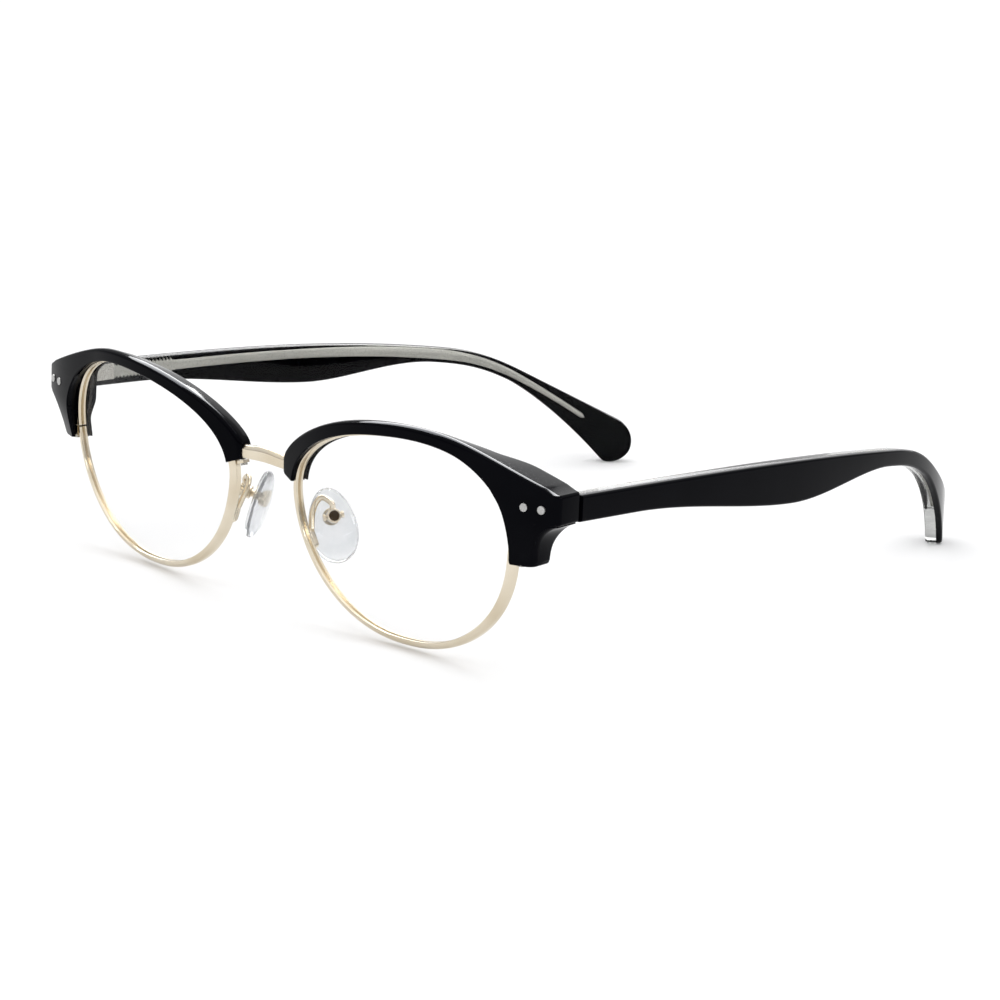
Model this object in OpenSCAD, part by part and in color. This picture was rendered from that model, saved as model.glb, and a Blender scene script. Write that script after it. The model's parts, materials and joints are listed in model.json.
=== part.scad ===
// Browline glasses, temples open, standing on the rims and the temple tips.
// x runs across the face, y back along the temples, z up.
// "left" is the wearer's left, at +x. Shapes are made for the left and mirrored.

/* [Lenses and rims] */
// Width of a lens, bevel to bevel, at mid height
lens_w = 50.5; // [44:0.5:58]
// Lens edge above its centre line
lens_up = 18.1; // [15:0.1:22]
// Lens edge below its centre line
lens_down = 19.8; // [16:0.1:24]
// Distance between the two lenses at mid height
lens_gap = 18.1; // [14:0.1:22]
// How much wider the lens gets towards its top, as a share over 20 mm
lens_taper = 0.131; // [0:0.01:0.2]
// How much the top edge rises outwards, as a share over 20 mm
lens_rise = 0.1; // [0:0.01:0.2]
// How far the lower edge swings outwards, over 20 mm
lens_swing = 0.75; // [0:0.05:1]
// Squareness of the upper outer corner, 2 is an ellipse
corner_outer = 2.28; // [2:0.02:3.4]
// Squareness of the other corners, 2 is an ellipse
corner_round = 2.25; // [2:0.02:3.2]
// Thickness of a lens
lens_t = 1.3; // [1:0.1:1.6]
// Radius of the lens curve
base_r = 90; // [80:1:250]
// Backward lean of the front, lower edge towards the cheek
front_lean = 6.2; // [0:0.5:14]
// Wrap of each lens round the face
face_wrap = 4.2; // [0:0.5:10]
// Width of the rim wire, seen from the front
rim_w = 1.3; // [1.1:0.05:2]
// Depth of the rim wire, front to back
rim_d = 1.8; // [1.7:0.1:3]
// Depth that the lens bevel sits in the rim
bevel = 0.55; // [0.4:0.05:0.6]
// Clearance between lens and rim
lens_clear = 0.05; // [0.02:0.01:0.1]

/* [Brows] */
// Brow in front of the rim, over most of its length
lip_front = 1.4; // [1:0.1:2]
// Brow in front of the rim's surface carried on, at its outer end
lip_end = 3.2; // [1.4:0.1:3.6]
// Brow in front of the rim, at its nasal end
lip_nasal = 0.9; // [0.4:0.1:1.8]
// Brow behind the rim
lip_rear = 1.1; // [0.8:0.1:2]
// Clearance between rim and groove
groove_clear = 0.12; // [0.1:0.01:0.2]
// Fall of the brow's top towards its rear edge
brow_slope = 0.9; // [0:0.05:1.2]
// Height of the brow over the rim's inner edge, at its highest point
brow_h = 2.8; // [2.6:0.1:4]
// Width from the lens's edge to the outer face of the endpiece
end_w = 10.4; // [9.5:0.1:14]
// Height of the endpiece at its outer end
end_h = 5.4; // [5.2:0.1:7]
// Endpiece centre line above the lens centre line
end_up = 10.4; // [9:0.1:12]
// Length of the lobe below the endpiece's centre line
lobe_drop = 10.7; // [9:0.1:13]
// Width of the lobe at its lower end
lobe_w = 4.6; // [4:0.1:6]
// Width of the brow at its nasal end
nasal_w = 4; // [3:0.1:4.5]

/* [Bridge] */
// Bridge's front face behind the lens plane's centre
bridge_back = 1.5; // [1.2:0.1:2]
// Height of the bridge bar at its ends
bridge_h = 2.4; // [2:0.1:3.5]
// Depth of the bridge bar, front to back
bridge_d = 1.6; // [1.2:0.1:2]
// Rise of the bridge's top edge at the middle
bridge_rise = 0.4; // [0:0.05:2]
// Bridge centre line above the lens centre line
bridge_up = 7.35; // [6.8:0.05:8]

/* [Hinges] */
// Slant of the joint between endpiece and temple
mitre = 12.5; // [5:0.5:16]
// Joint line behind the lens plane's centre, at the outer face
joint_back = 11.8; // [11.5:0.1:13]
// Distance of the hinge axis inside the overall width, one side
hinge_in = 5.05; // [4.9:0.05:6]
// Radius of a knuckle
knuckle_r = 1.15; // [1:0.05:1.2]
// Height of the whole stack of five knuckles
hinge_h = 4.2; // [3.6:0.1:4.4]
// Diameter of the hinge screw's shank
hinge_pin_d = 1.2; // [1:0.05:1.3]
// Running clearance between knuckles and round the screw
hinge_clear = 0.04; // [0.03:0.01:0.06]
// Thickness of the hinge leaves
leaf_t = 0.8; // [0.6:0.05:0.9]
// Diameter of a rivet
rivet_d = 1.5; // [1.2:0.1:1.8]
// Distance between the two rivets
rivet_pitch = 3.3; // [3:0.1:3.6]
// Gap at the joint between endpiece and temple
joint_gap = 0.08; // [0.05:0.01:0.15]

/* [Temples] */
// Length of a temple along its top edge
temple_len = 149.5; // [135:0.5:160]
// Thickness of a temple
temple_t = 3.6; // [3.4:0.1:4.2]
// Thickness of the black outer layer
outer_t = 1.2; // [1:0.1:1.6]
// Height of a temple at the hinge
hinge_end_h = 4.7; // [4.6:0.1:6]
// Greatest height, over the temple's lower bulge
bulge_h = 7.9; // [6:0.1:11]
// Distance from the joint to the bulge
bulge_at = 59; // [50:1:66]
// Least height, before the ear bend
waist_h = 3.2; // [3:0.1:5]
// Distance from the joint to the waist
waist_at = 94; // [86:1:100]
// Greatest height at the tip
tip_h = 10.1; // [7:0.1:12]
// Distance from the joint to where the tip starts to widen
flare_at = 115; // [100:1:124]
// How late the tip widens, 1 is evenly
flare_late = 1.64; // [1.2:0.02:2.4]
// Downward slope at the hinge
first_slope = 1.3; // [0:0.1:3]
// Downward slope at the waist
waist_slope = 7.6; // [4:0.1:9]
// Downward slope behind the ear
ear_slope = 26.5; // [22:0.5:34]
// Length over which the temple bends down to the ear slope
ear_bend = 25; // [16:1:30]
// Inward curve of the tip
tip_in = 26.3; // [14:0.1:32]
// How late the inward curve comes
curve_late = 3.3; // [2.6:0.1:4.2]
// Depth of the core wire, and its height at its end
core_d = 1.1; // [0.9:0.05:1.2]
// Height of the core wire over most of its length
wire_h = 2; // [1.1:0.1:2.2]
// Height of the knurled plate at the core's front
plate_h = 2.4; // [2:0.1:2.8]
// Distance from the joint to the end of the plate
plate_to = 27; // [20:1:34]
// Thickness of the knurled plate
plate_t = 0.8; // [0.6:0.05:0.9]
// Bare length of temple behind the end of the core
core_short = 13; // [10:1:18]

/* [Nose pads] */
// Width of a pad
pad_w = 9; // [7:0.1:10]
// Height of a pad
pad_h = 14; // [11:0.1:15]
// Thickness of a pad
pad_t = 2.8; // [2.4:0.1:3.2]
// Half distance between the pad centres
pad_x = 10; // [9:0.1:12]
// Pad centre behind the lens plane's centre
pad_back = 9.9; // [9.4:0.1:11]
// Pad centre below the lens centre line
pad_down = 4.7; // [3:0.1:6]
// Splay of the pads, seen from above
pad_splay = 32; // [24:1:36]
// Lean of the pads, tops towards the nose
pad_lean = 20; // [14:1:24]
// Distance from pad centre to the cross screw
pad_stand = 3.3; // [3.1:0.1:3.8]
// Cross screw above the pad centre, along the pad
pad_screw_up = 1.6; // [1:0.1:2.4]
// Diameter of the arm wire
arm_d = 1.1; // [0.9:0.05:1.3]

/* [Hidden] */
$fn = 48;

// Colours
black = [0.06, 0.06, 0.07];
gold = [0.84, 0.77, 0.66];
steel = [0.72, 0.72, 0.72];
clear = [0.85, 0.88, 0.9, 0.4];

// Small helpers
function mix(a, b, k) = a + (b - a) * k;
function ease(k) = let (c = min(1, max(0, k))) c * c * (3 - 2 * c);
function unit(p) = p / norm(p);
function power(b, e) = sign(b) * pow(abs(b), e);
function bezier(p, k) = pow(1 - k, 3) * p[0] + 3 * pow(1 - k, 2) * k * p[1]
    + 3 * (1 - k) * k * k * p[2] + pow(k, 3) * p[3];

// Joins rings of points, each with as many points, into one closed solid.
// A hollowed section gives its end faces as polygons that its first point sees whole.
module skin(rings, ends = []) {
    n = len(rings[0]);
    m = len(rings);
    faces = len(ends) > 0 ? ends : [[for (j = [0 : n - 1]) j]];
    sides = [for (i = [0 : m - 2], j = [0 : n - 1])
        let (a = i * n, b = a + n, k = (j + 1) % n)
        each [[a + j, b + j, b + k], [a + j, b + k, a + k]]];
    caps = [for (f = faces) each [f, [for (j = [0 : len(f) - 1]) (m - 1) * n + f[(len(f) - j) % len(f)]]]];
    polyhedron([for (r = rings) each r], concat(sides, caps), convexity = 8);
}

module both(right) {
    if (right) mirror([1, 0, 0]) children();
    else children();
}

// Front: u across and v up from the lens centre
eye_x = (lens_gap + lens_w) / 2;
overall_w = lens_gap + 2 * (lens_w + end_w);

// Edge of the lens, a squared ellipse that widens and rises towards its outer top
function eye(t) = let (
        c = cos(t), s = sin(t),
        e = 2 / (c > 0 && s > 0 ? corner_outer : corner_round),
        v = (s > 0 ? lens_up : lens_down) * power(s, e),
        u = lens_w / 2 * power(c, e) * (1 + lens_taper * v / 20))
    [u - (v < 0 ? lens_swing * v / 20 : 0), v + (v > 0 ? lens_rise * u * v / 20 : 0)];

// The same edge moved outwards by r
function eye_off(t, r) = let (d = unit(eye(t + 0.5) - eye(t - 0.5)))
    eye(t) + r * [d[1], -d[0]];

// Depth of the rim's front face behind the lens centre's
function front_y(p) = (p[0] * p[0] + p[1] * p[1]) / (2 * base_r)
    + p[0] * tan(face_wrap) - p[1] * tan(front_lean);

rim_in = -bevel;
rim_out = rim_w - bevel;
eye_bottom = min([for (t = [180 : 3 : 360]) eye_off(t, rim_out)[1]]);

// A point of the front, from u, v and the depth behind the rim's front face
function front_pt(p, d) = [eye_x + p[0], front_y(p) + d, p[1]];

rim_n = 64;
lock_t = 4;
lock_split = 0.4;

// Rim section, r outwards and d backwards, with the groove for the lens bevel
rim_section = [[rim_in, 0.25], [rim_in, rim_d / 2 - bevel * 0.6], [lens_clear, rim_d / 2],
    [rim_in, rim_d / 2 + bevel * 0.6], [rim_in, rim_d - 0.25], [rim_in + 0.25, rim_d],
    [rim_out - 0.4, rim_d], [rim_out, rim_d - 0.5], [rim_out, 0.55],
    [rim_out - 0.45, 0], [rim_in + 0.25, 0]];

module rim(right) {
    color(gold) both(right) stand() skin([for (i = [rim_n : -1 : 0])
        let (t = lock_t + lock_split + (360 - 2 * lock_split) * i / rim_n)
        [for (q = rim_section) front_pt(eye_off(t, q[0]), q[1])]], [[2, 3, 4, 5, 6, 7, 8, 9, 10, 0, 1]]);
}

// Lens: rings of the front face, the bevelled edge and the back face
lens_front = (rim_d - lens_t) / 2;
lens_edge = rim_in - lens_clear;

function lens_ring(k, r, d) = [for (i = [0 : rim_n - 1])
    front_pt(eye_off(lock_t + 360 * i / rim_n, r) * k, d)];

module lens(right) {
    rings = [lens_ring(0.02, lens_edge, lens_front), lens_ring(0.45, lens_edge, lens_front),
        lens_ring(0.78, lens_edge, lens_front), lens_ring(1, lens_edge, lens_front),
        lens_ring(1, lens_edge, rim_d / 2 - bevel * 0.5), lens_ring(1, -lens_clear, rim_d / 2),
        lens_ring(1, lens_edge, rim_d / 2 + bevel * 0.5),
        lens_ring(1, lens_edge, lens_front + lens_t),
        lens_ring(0.78, lens_edge, lens_front + lens_t),
        lens_ring(0.45, lens_edge, lens_front + lens_t),
        lens_ring(0.02, lens_edge, lens_front + lens_t)];
    color(clear) both(right) stand() skin([for (i = [len(rings) - 1 : -1 : 0]) rings[i]]);
}

// Brow: its outer outline, from the nasal end over the top to the lobe
end_u = lens_w / 2 + end_w;
brow_in = rim_in - 0.05;
brow_peak = [0.107 * lens_w, max([for (t = [60 : 3 : 90]) eye_off(t, brow_in)[1]]) + brow_h];
nasal_t = 165;
lobe_v = end_up - lobe_drop;
nasal_foot = eye_off(nasal_t, brow_in);
nasal_low = nasal_foot + [-nasal_w * cos(17), nasal_w * sin(17)];
nasal_top = nasal_low + [0.1, 2.7];
end_top = [end_u, end_up + end_h / 2];
end_low = [end_u, end_up - end_h / 2];
lobe_in_u = eye_off(0, rim_out + 0.1)[0];
lobe_low = [lobe_in_u + lobe_w, lobe_v];
brow_top_in = [nasal_top, nasal_top + [0.1, 2.3], brow_peak - [0.4257 * lens_w, 0], brow_peak];
brow_top_out = [brow_peak, brow_peak + [0.1406 * lens_w, 0], end_top + [-0.35 * lens_w, 6.4], end_top];
brow_under = [end_low, end_low + [-3.4, -1.1], lobe_low + [0.4, 4.2], lobe_low];
end_r = 0.7;
lobe_r = 0.7;

// Front and back faces of the brow
function brow_face(p) = front_y(p) - (p[0] < 8 ? mix(lip_nasal, lip_front, ease((p[0] + end_u - 7) / 22))
    : mix(lip_front, lip_end, ease((p[0] - 14) / 22) * ease((p[1] + 2) / 10)));
function joint_y(x) = front_y([0, 0]) + joint_back - (overall_w / 2 - x) * tan(mitre);
function brow_rear(p) = mix(front_y(p) + rim_d + lip_rear, joint_y(eye_x + p[0]),
    ease((p[0] - 20) / 7) * ease((p[1] - end_up + 7.5) / 4.5));

// Section of the brow along the line from a, at the rim, to b, on the outline
function brow_section(a, b, t) = let (
        w = norm(b - a), d = (b - a) / w,
        out = unit(eye_off(t, 1) - eye(t)),
        g = (rim_out + groove_clear - brow_in) / max(0.6, out * d),
        lip = (mix(rim_out + 0.05, rim_in + 0.3, ease((t - 12) / 42)) - brow_in) / max(0.6, out * d),
        fall = mix(brow_slope, 0.3, ease((b[0] - 12) / 20)),
        f0 = lip + 0.25, f3 = w - 0.9, r0 = 0.4, r3 = w - fall - 0.5)
    [for (q = [
        [lip, 0, 0.3], [lip, 1, -groove_clear], [g, 1, -groove_clear],
        [g, 1, rim_d + groove_clear], [0, 1, rim_d + groove_clear], [0, 2, -0.4],
        [r0, 2, 0], [mix(r0, r3, 1 / 3), 2, 0], [mix(r0, r3, 2 / 3), 2, 0], [r3, 2, 0],
        [w - fall, 2, -0.5], [w, 0, 0.95], [w - 0.3, 0, 0.35],
        [f3, 0, 0.05], [mix(f0, f3, 2 / 3), 0, 0], [mix(f0, f3, 1 / 3), 0, 0], [f0, 0, 0]])
        let (p = a + q[0] * d, base = q[1] == 0 ? brow_face(p) : q[1] == 1 ? front_y(p) : brow_rear(p))
        [eye_x + p[0], base + q[2], p[1]]];

// Stations of the brow: rim angle, point on the rim side, point on the outline
function brow_station(t, b) = [t, eye_off(t, brow_in), b];
brow_stations = concat(
    [for (k = [0, 1]) let (s = brow_station(nasal_t - 1.5 * k, mix(nasal_low, nasal_top, 0.2 * k)))
        [s[0], s[1], s[2] + [0.35 * (1 - k), 0.05 * (1 - k)]]],
    [for (k = [0 : 0.5 : 1]) brow_station(nasal_t - 3 - 5 * k, mix(nasal_low, nasal_top, mix(0.4, 1, k)))],
    [for (k = [1 : 11]) brow_station(mix(nasal_t - 8, 82, k / 11), bezier(brow_top_in, k / 11))],
    [for (k = [1 : 10]) brow_station(mix(82, 42, k / 10.6), bezier(brow_top_out, k / 10.6))],
    [for (k = [0 : 3]) brow_station(mix(42, 36, k / 3),
        end_top + end_r * [cos(90 - 30 * k) - 1, sin(90 - 30 * k) - 1])],
    [for (k = [0 : 3]) brow_station(mix(30, 24, k / 3),
        end_low + end_r * [cos(-30 * k) - 1, sin(-30 * k) + 1])],
    [for (k = [1 : 7]) brow_station(mix(24, 3, k / 7.6), bezier(brow_under, k / 7.6))],
    [for (k = [0 : 3]) let (a = eye_off(0, brow_in), s = lobe_r * (1 - cos(30 * k)))
        [0, [a[0] + s * 0.2, lobe_v + lobe_r * (1 - sin(30 * k))],
        [lobe_low[0] - s, lobe_v + lobe_r * (1 - sin(30 * k))]]]);

module brow(right) {
    color(black) both(right) stand() difference() {
        skin([for (s = brow_stations) brow_section(s[1], s[2], s[0])],
            [[2, 14, 15, 16, 0, 1], [3, 4, 5, 6, 7, 8], [3, 8, 9, 10, 11, 12, 13, 14, 2]]);
        lock_pocket();
        bridge_slot();
        at_joint() leaf_pocket();
        rivet_holes(rivet_d);
        at_bracket() cylinder(d = bracket_screw_d, h = bracket_screw_l);
    }
}

// Closing block of the rim, behind the lobe
lock_w = 1.9;
lock_l = 2.0;
lock_d = 2.2;
lock_screw_d = 1;
lock_head_d = 1.5;
lock_at = eye_off(lock_t, rim_out + 0.02);
lock_y = front_y(lock_at) + rim_d - lock_d;

module lock_pocket() {
    translate([eye_x + lock_at[0] - 0.4, lock_y - 0.15, lobe_v - 1])
        cube([lock_w + 0.6, lock_d + lip_rear + 3, lock_at[1] + lock_l + 1.2 - lobe_v]);
}

module lock_screw_axis() {
    translate([eye_x + lock_at[0] + lock_w / 2 + 0.1, lock_y + lock_d / 2, lock_at[1]]) children();
}

module rim_lock(right) {
    color(gold) both(right) stand() difference() {
        for (up = [0, 1])
            translate([eye_x + lock_at[0] + 0.05, lock_y,
                lock_at[1] + (up ? 0.08 : -lock_l - 0.08)])
                cube([lock_w, lock_d, lock_l]);
        lock_screw_axis() cylinder(d = lock_screw_d + 0.04, h = 4 * lock_l, center = true);
    }
}

module rim_screw(right) {
    color(steel) both(right) stand() lock_screw_axis() {
        translate([0, 0, -lock_l - 0.08]) cylinder(d = lock_screw_d, h = 2 * lock_l);
        translate([0, 0, -lock_l - 0.6]) cylinder(d = lock_head_d, h = 0.5);
    }
}

// Bridge: a bar bevelled along its upper front edge, its ends at the rims
nasal_edge = [for (t = [120 : 4 : 180]) let (p = eye_off(t, rim_out + 0.06)) [p[1], eye_x + p[0]]];

function bridge_z(k, top) = bridge_up + (top ? bridge_h / 2 + bridge_rise * k : 0.2 * k - bridge_h / 2);

function bridge_ring(x) = let (k = pow(cos(min(90, abs(x) * 90 / (overall_w / 24))), 2),
        lo = bridge_z(k, false), hi = bridge_z(k, true), b = 0.75)
    [for (q = [[0, lo + 0.2], [0.2, lo], [bridge_d - 0.2, lo], [bridge_d, lo + 0.2],
        [bridge_d, hi - 0.2], [bridge_d - 0.2, hi], [b * 0.6, hi], [0, hi - b]])
        let (end = lookup(q[1], nasal_edge))
        [sign(x) * min(abs(x), end), bridge_back + q[0], q[1]]];

bridge_xs = [for (k = [-10 : 10]) k * (eye_x - lens_w / 2 + 2.5) / 10];

module bridge() {
    color(gold) stand() skin([for (x = bridge_xs) bridge_ring(x)]);
}

module bridge_slot() {
    translate([0, bridge_back - 0.05, bridge_z(0, false) - 0.05])
        cube([eye_x - lens_w / 2 + 0.6, bridge_d + 0.1, bridge_h + bridge_rise * 0.15 + 0.1]);
}

// Tab under the brow's nasal end, with its screw
bracket_screw_d = 0.8;
bracket_screw_l = 1.3;
bracket_t = 0.6;
bracket_w = 1.5;
bracket_at = 0.68;

module at_bracket() {
    p = mix(nasal_foot, nasal_low, bracket_at);
    translate([eye_x + p[0], front_y(p) + rim_d / 2 + 0.2, p[1]]) rotate([0, 17, 0]) children();
}

module brow_bracket(right) {
    color(gold) both(right) stand() at_bracket() difference() {
        translate([-bracket_w / 2, -bracket_w / 2, -bracket_t - 0.03])
            cube([bracket_at * nasal_w - rim_w + bracket_w / 2 - 0.3, bracket_w, bracket_t]);
        cylinder(d = bracket_screw_d + 0.04, h = 3, center = true);
    }
}

module brow_screw(right) {
    color(steel) both(right) stand() at_bracket() {
        translate([0, 0, -bracket_t - 0.1]) cylinder(d = bracket_screw_d - 0.02, h = bracket_screw_l);
        translate([0, 0, -bracket_t - 0.45]) cylinder(d = 1.3, h = 0.4);
    }
}

// Hinge: a frame on the joint plane, and one on the axis
hinge_x = overall_w / 2 - hinge_in;
axis_off = knuckle_r + 0.1;
axis_at = [hinge_x - axis_off * sin(mitre), joint_y(hinge_x) + axis_off * cos(mitre), end_up];
knuckle_h = (hinge_h - 4 * hinge_clear) / 5;
leaf_in = 4.2;
leaf_out = 3;
rivets_in = 0.75;

module at_joint() {
    translate([hinge_x, joint_y(hinge_x), end_up]) rotate([0, 0, mitre]) children();
}

module at_axis() {
    translate(axis_at) children();
}

module leaf_pocket() {
    translate([-leaf_in - 0.03, -leaf_t - 0.03, -hinge_h / 2 - 0.03])
        cube([leaf_in + leaf_out + 0.06, 3, hinge_h + 0.06]);
}

module rivet_holes(d) {
    at_joint() for (x = [-1, 1])
        translate([x * rivet_pitch / 2 - rivets_in, 0.01, 0]) rotate([90, 0, 0])
            cylinder(d = d, h = 12);
}

// Knuckle k of five, from the bottom
function knuckle_z(k) = -hinge_h / 2 + k * (knuckle_h + hinge_clear);

module front_hinge(right) {
    color(steel) both(right) stand() difference() {
        union() {
            at_joint() translate([-leaf_in, -leaf_t, -hinge_h / 2])
                cube([leaf_in + leaf_out, leaf_t, hinge_h]);
            for (k = [0, 2, 4]) {
                at_joint() translate([-0.85, -0.1, knuckle_z(k)]) cube([1.7, axis_off, knuckle_h]);
                at_axis() translate([0, 0, knuckle_z(k)]) cylinder(r = knuckle_r, h = knuckle_h);
            }
        }
        at_axis() cylinder(d = hinge_pin_d + 2 * hinge_clear, h = 2 * hinge_h, center = true);
        rivet_holes(rivet_d);
    }
}

module endpiece_rivets(right) {
    color(steel) both(right) stand() at_joint() for (x = [-1, 1]) {
        dx = x * rivet_pitch / 2 - rivets_in;
        px = hinge_x + dx * cos(mitre) - eye_x;
        l = (joint_y(eye_x + px) - brow_face([px, end_up])) * cos(mitre);
        translate([dx, 0, 0]) rotate([90, 0, 0]) cylinder(d = rivet_d - 0.02, h = l + 0.12);
    }
}

module hinge_screw(right) {
    color(steel) both(right) stand() at_axis() {
        translate([0, 0, -hinge_h / 2]) cylinder(d = hinge_pin_d, h = hinge_h);
        translate([0, 0, hinge_h / 2 + 0.02]) cylinder(d = 2 * knuckle_r - 0.3, h = 0.45);
        translate([0, 0, hinge_h / 2 - 0.1]) cylinder(d = hinge_pin_d, h = 0.2);
    }
}

// Temple: the path of its top edge, heights and frames
tip_round = 5.5;
temple_low = 0.3;
temple_s = concat([for (k = [0 : 1 / 38 : 1.001]) k * (temple_len - tip_round)],
    [for (a = [20, 38, 54, 68, 79, 90]) temple_len - tip_round * (1 - sin(a))]);
temple_n = len(temple_s) - 1;
temple_x = overall_w / 2 - temple_t / 2;

function temple_slope(s) = s < waist_at ? mix(first_slope, waist_slope, pow(s / waist_at, 2))
    : mix(waist_slope, ear_slope, ease((s - waist_at) / ear_bend));
function temple_dx(s) = tip_in * curve_late / temple_len * pow(s / temple_len, curve_late - 1);
function temple_dy(s) = sqrt(1 - pow(sin(temple_slope(s)), 2) - pow(temple_dx(s), 2));
temple_path = [for (i = 0, y = joint_y(temple_x), z = end_up + hinge_end_h / 2 - temple_low;
    i <= temple_n;
    ds = i < temple_n ? temple_s[i + 1] - temple_s[i] : 0, mid = temple_s[i] + ds / 2,
    y = y + ds * temple_dy(mid), z = z - ds * sin(temple_slope(mid)), i = i + 1)
    [temple_x - tip_in * pow(temple_s[i] / temple_len, curve_late), y, z]];

function temple_h(s) = s < bulge_at
    ? mix(hinge_end_h, bulge_h, ease((s - bulge_at * 0.25) / (bulge_at * 0.75)))
    : s < waist_at ? mix(bulge_h, waist_h, ease((s - bulge_at) / (waist_at - bulge_at)))
    : mix(waist_h, tip_h, pow(min(1, max(0, (s - flare_at) / (temple_len - 4 - flare_at))), flare_late));

// Rounding of the tip: how far the top and bottom edges draw in near the end
function tip_cut(s) = let (k = max(0, (s - temple_len + tip_round) / tip_round))
    1 - sqrt(max(0, 1 - k * k * 0.985));

function temple_frame(i) = let (s = temple_s[i], a = temple_slope(s),
        p = asin(temple_dx(s) / max(0.1, cos(a))))
    [temple_path[i], [cos(p), sin(p), 0],
    [sin(p) * sin(a), -cos(p) * sin(a), -cos(a)]];

// Point of the temple at station i: a outwards from the middle, b down from the top edge
function temple_pt(i, a, b) = let (f = temple_frame(i), q = f[0] + a * f[1] + b * f[2])
    i == 0 ? [q[0], joint_y(q[0]) + joint_gap, q[2]] : q;

temple_bottom = min([for (i = [30 : temple_n])
    temple_pt(i, 0, temple_edges(i)[1])[2]]);

function temple_edges(i) = let (s = temple_s[i], h = temple_h(s), c = tip_cut(s) * h / 2)
    [c, h - c];

seam = temple_t / 2 - outer_t;
glue = 0.05;
edge_r = 0.6;

function outer_ring(i) = let (e = temple_edges(i), o = temple_t / 2, r = min(edge_r, (e[1] - e[0]) / 3))
    [for (q = [[seam, e[0]], [o - r, e[0]], [o - 0.3 * r, e[0] + 0.3 * r], [o, e[0] + r],
        [o, e[1] - r], [o - 0.3 * r, e[1] - 0.3 * r], [o - r, e[1]], [seam, e[1]]])
        temple_pt(i, q[0], q[1])];

// Core: height and depth below the top edge, at distance s
function core_h(s) = mix(plate_h, mix(wire_h, core_d, ease((s - waist_at) / (core_end - waist_at))),
    ease((s - plate_to + 4) / 4));
function core_b(s) = s < waist_at ? mix(hinge_end_h / 2, waist_h / 2, ease(s / waist_at))
    : waist_h / 2 + 0.38 * (temple_h(s) - waist_h);
function core_w(s) = mix(plate_t, core_d, ease((s - plate_to + 4) / 4));
core_end = temple_len - core_short;
core_from = 1;
core_to = len([for (s = temple_s) if (s < core_end) s]) - 1;

function inner_ring(i) = let (s = temple_s[i], e = temple_edges(i), n = -temple_t / 2,
        r = min(edge_r, (e[1] - e[0]) / 3), g = seam - glue, cored = i <= core_to + 1,
        b = cored ? core_b(s) : (e[0] + e[1]) / 2,
        ch = (cored ? core_h(s) : 0.2) / 2 + 0.05, cw = (cored ? core_w(s) : 0.1) + 0.05)
    [for (q = [[g, e[1]], [n + r, e[1]], [n + 0.3 * r, e[1] - 0.3 * r], [n, e[1] - r],
        [n, e[0] + r], [n + 0.3 * r, e[0] + 0.3 * r], [n + r, e[0]], [g, e[0]],
        [g, b - ch], [g - cw, b - ch * 0.8], [g - cw, b + ch * 0.8], [g, b + ch]])
        temple_pt(i, q[0], q[1])];

function core_ring(i) = let (s = temple_s[i], b = core_b(s), h = core_h(s) / 2, w = core_w(s), g = seam - glue)
    [for (q = [[g - 0.01, b + 0.9 * h], [g - w, b + 0.7 * h], [g - w, b - 0.7 * h], [g - 0.01, b - 0.9 * h]])
        temple_pt(i, q[0], q[1])];

module temple_outer(right) {
    color(black) both(right) stand() skin([for (i = [0 : temple_n]) outer_ring(i)]);
}

module temple_inner(right) {
    color(clear) both(right) stand() difference() {
        skin([for (i = [0 : temple_n]) inner_ring(i)],
            [[10, 11, 0, 1, 2, 3], [9, 10, 3, 4], [9, 4, 5, 6, 7, 8]]);
        at_axis() translate([tongue_x - 0.03, -5, -tongue_h / 2 - 0.03])
            cube([leaf_t + 0.06, tongue_l + 5.03, tongue_h + 0.06]);
    }
}

module temple_core(right) {
    color(steel) both(right) stand() skin([for (i = [core_from : core_to]) core_ring(i)]);
}

// Temple leaf: two knuckles and a tongue let into the temple's inner face
tongue_x = temple_x - temple_t / 2 - axis_at[0] - 0.25;
tongue_l = 7;
tongue_h = 3.2;

module temple_hinge(right) {
    color(steel) both(right) stand() at_axis() difference() {
        union() {
            translate([tongue_x, -0.3, -tongue_h / 2]) cube([leaf_t, tongue_l + 0.3, tongue_h]);
            for (k = [1, 3]) translate([0, 0, knuckle_z(k)]) {
                cylinder(r = knuckle_r, h = knuckle_h);
                translate([0, -0.3, 0]) cube([tongue_x + 0.2, knuckle_r + 0.3, knuckle_h]);
            }
        }
        cylinder(d = hinge_pin_d + 2 * hinge_clear, h = 2 * hinge_h, center = true);
    }
}

// Nose pads: a frame at the pad's centre, y towards the nose, z up the pad
pad_at = [pad_x, pad_back, -pad_down];
box_d = 2.6;
box_bore = 1.9;
box_l = 2.2;
pad_screw_d = 0.8;

module at_pad() {
    translate(pad_at) rotate([0, -pad_lean, 0]) rotate([0, 0, 90 - pad_splay]) children();
}

function turn_y(p, a) = [p[0] * cos(a) + p[2] * sin(a), p[1], p[2] * cos(a) - p[0] * sin(a)];
function turn_z(p, a) = [p[0] * cos(a) - p[1] * sin(a), p[0] * sin(a) + p[1] * cos(a), p[2]];
function pad_pt(p) = pad_at + turn_y(turn_z(p, 90 - pad_splay), -pad_lean);

// Outline of a pad, fuller below, and rings that round it to both faces
function pad_ring(k, y) = [for (a = [0 : 12 : 348])
    [k * pad_w / 2 * cos(a) * (1 - 0.12 * sin(a)), y, k * pad_h / 2 * sin(a)]];

module nose_pad(right) {
    color(clear) both(right) stand() at_pad() difference() {
        skin([pad_ring(0.05, pad_t / 2), pad_ring(0.5, pad_t * 0.46), pad_ring(0.8, pad_t * 0.33),
            pad_ring(0.96, pad_t * 0.12), pad_ring(1, -pad_t * 0.1), pad_ring(0.96, -pad_t * 0.3),
            pad_ring(0.86, -pad_t * 0.42), pad_ring(0.05, -pad_t * 0.45)]);
        at_pad_screw() pad_post(pad_fit);
    }
}

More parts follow.
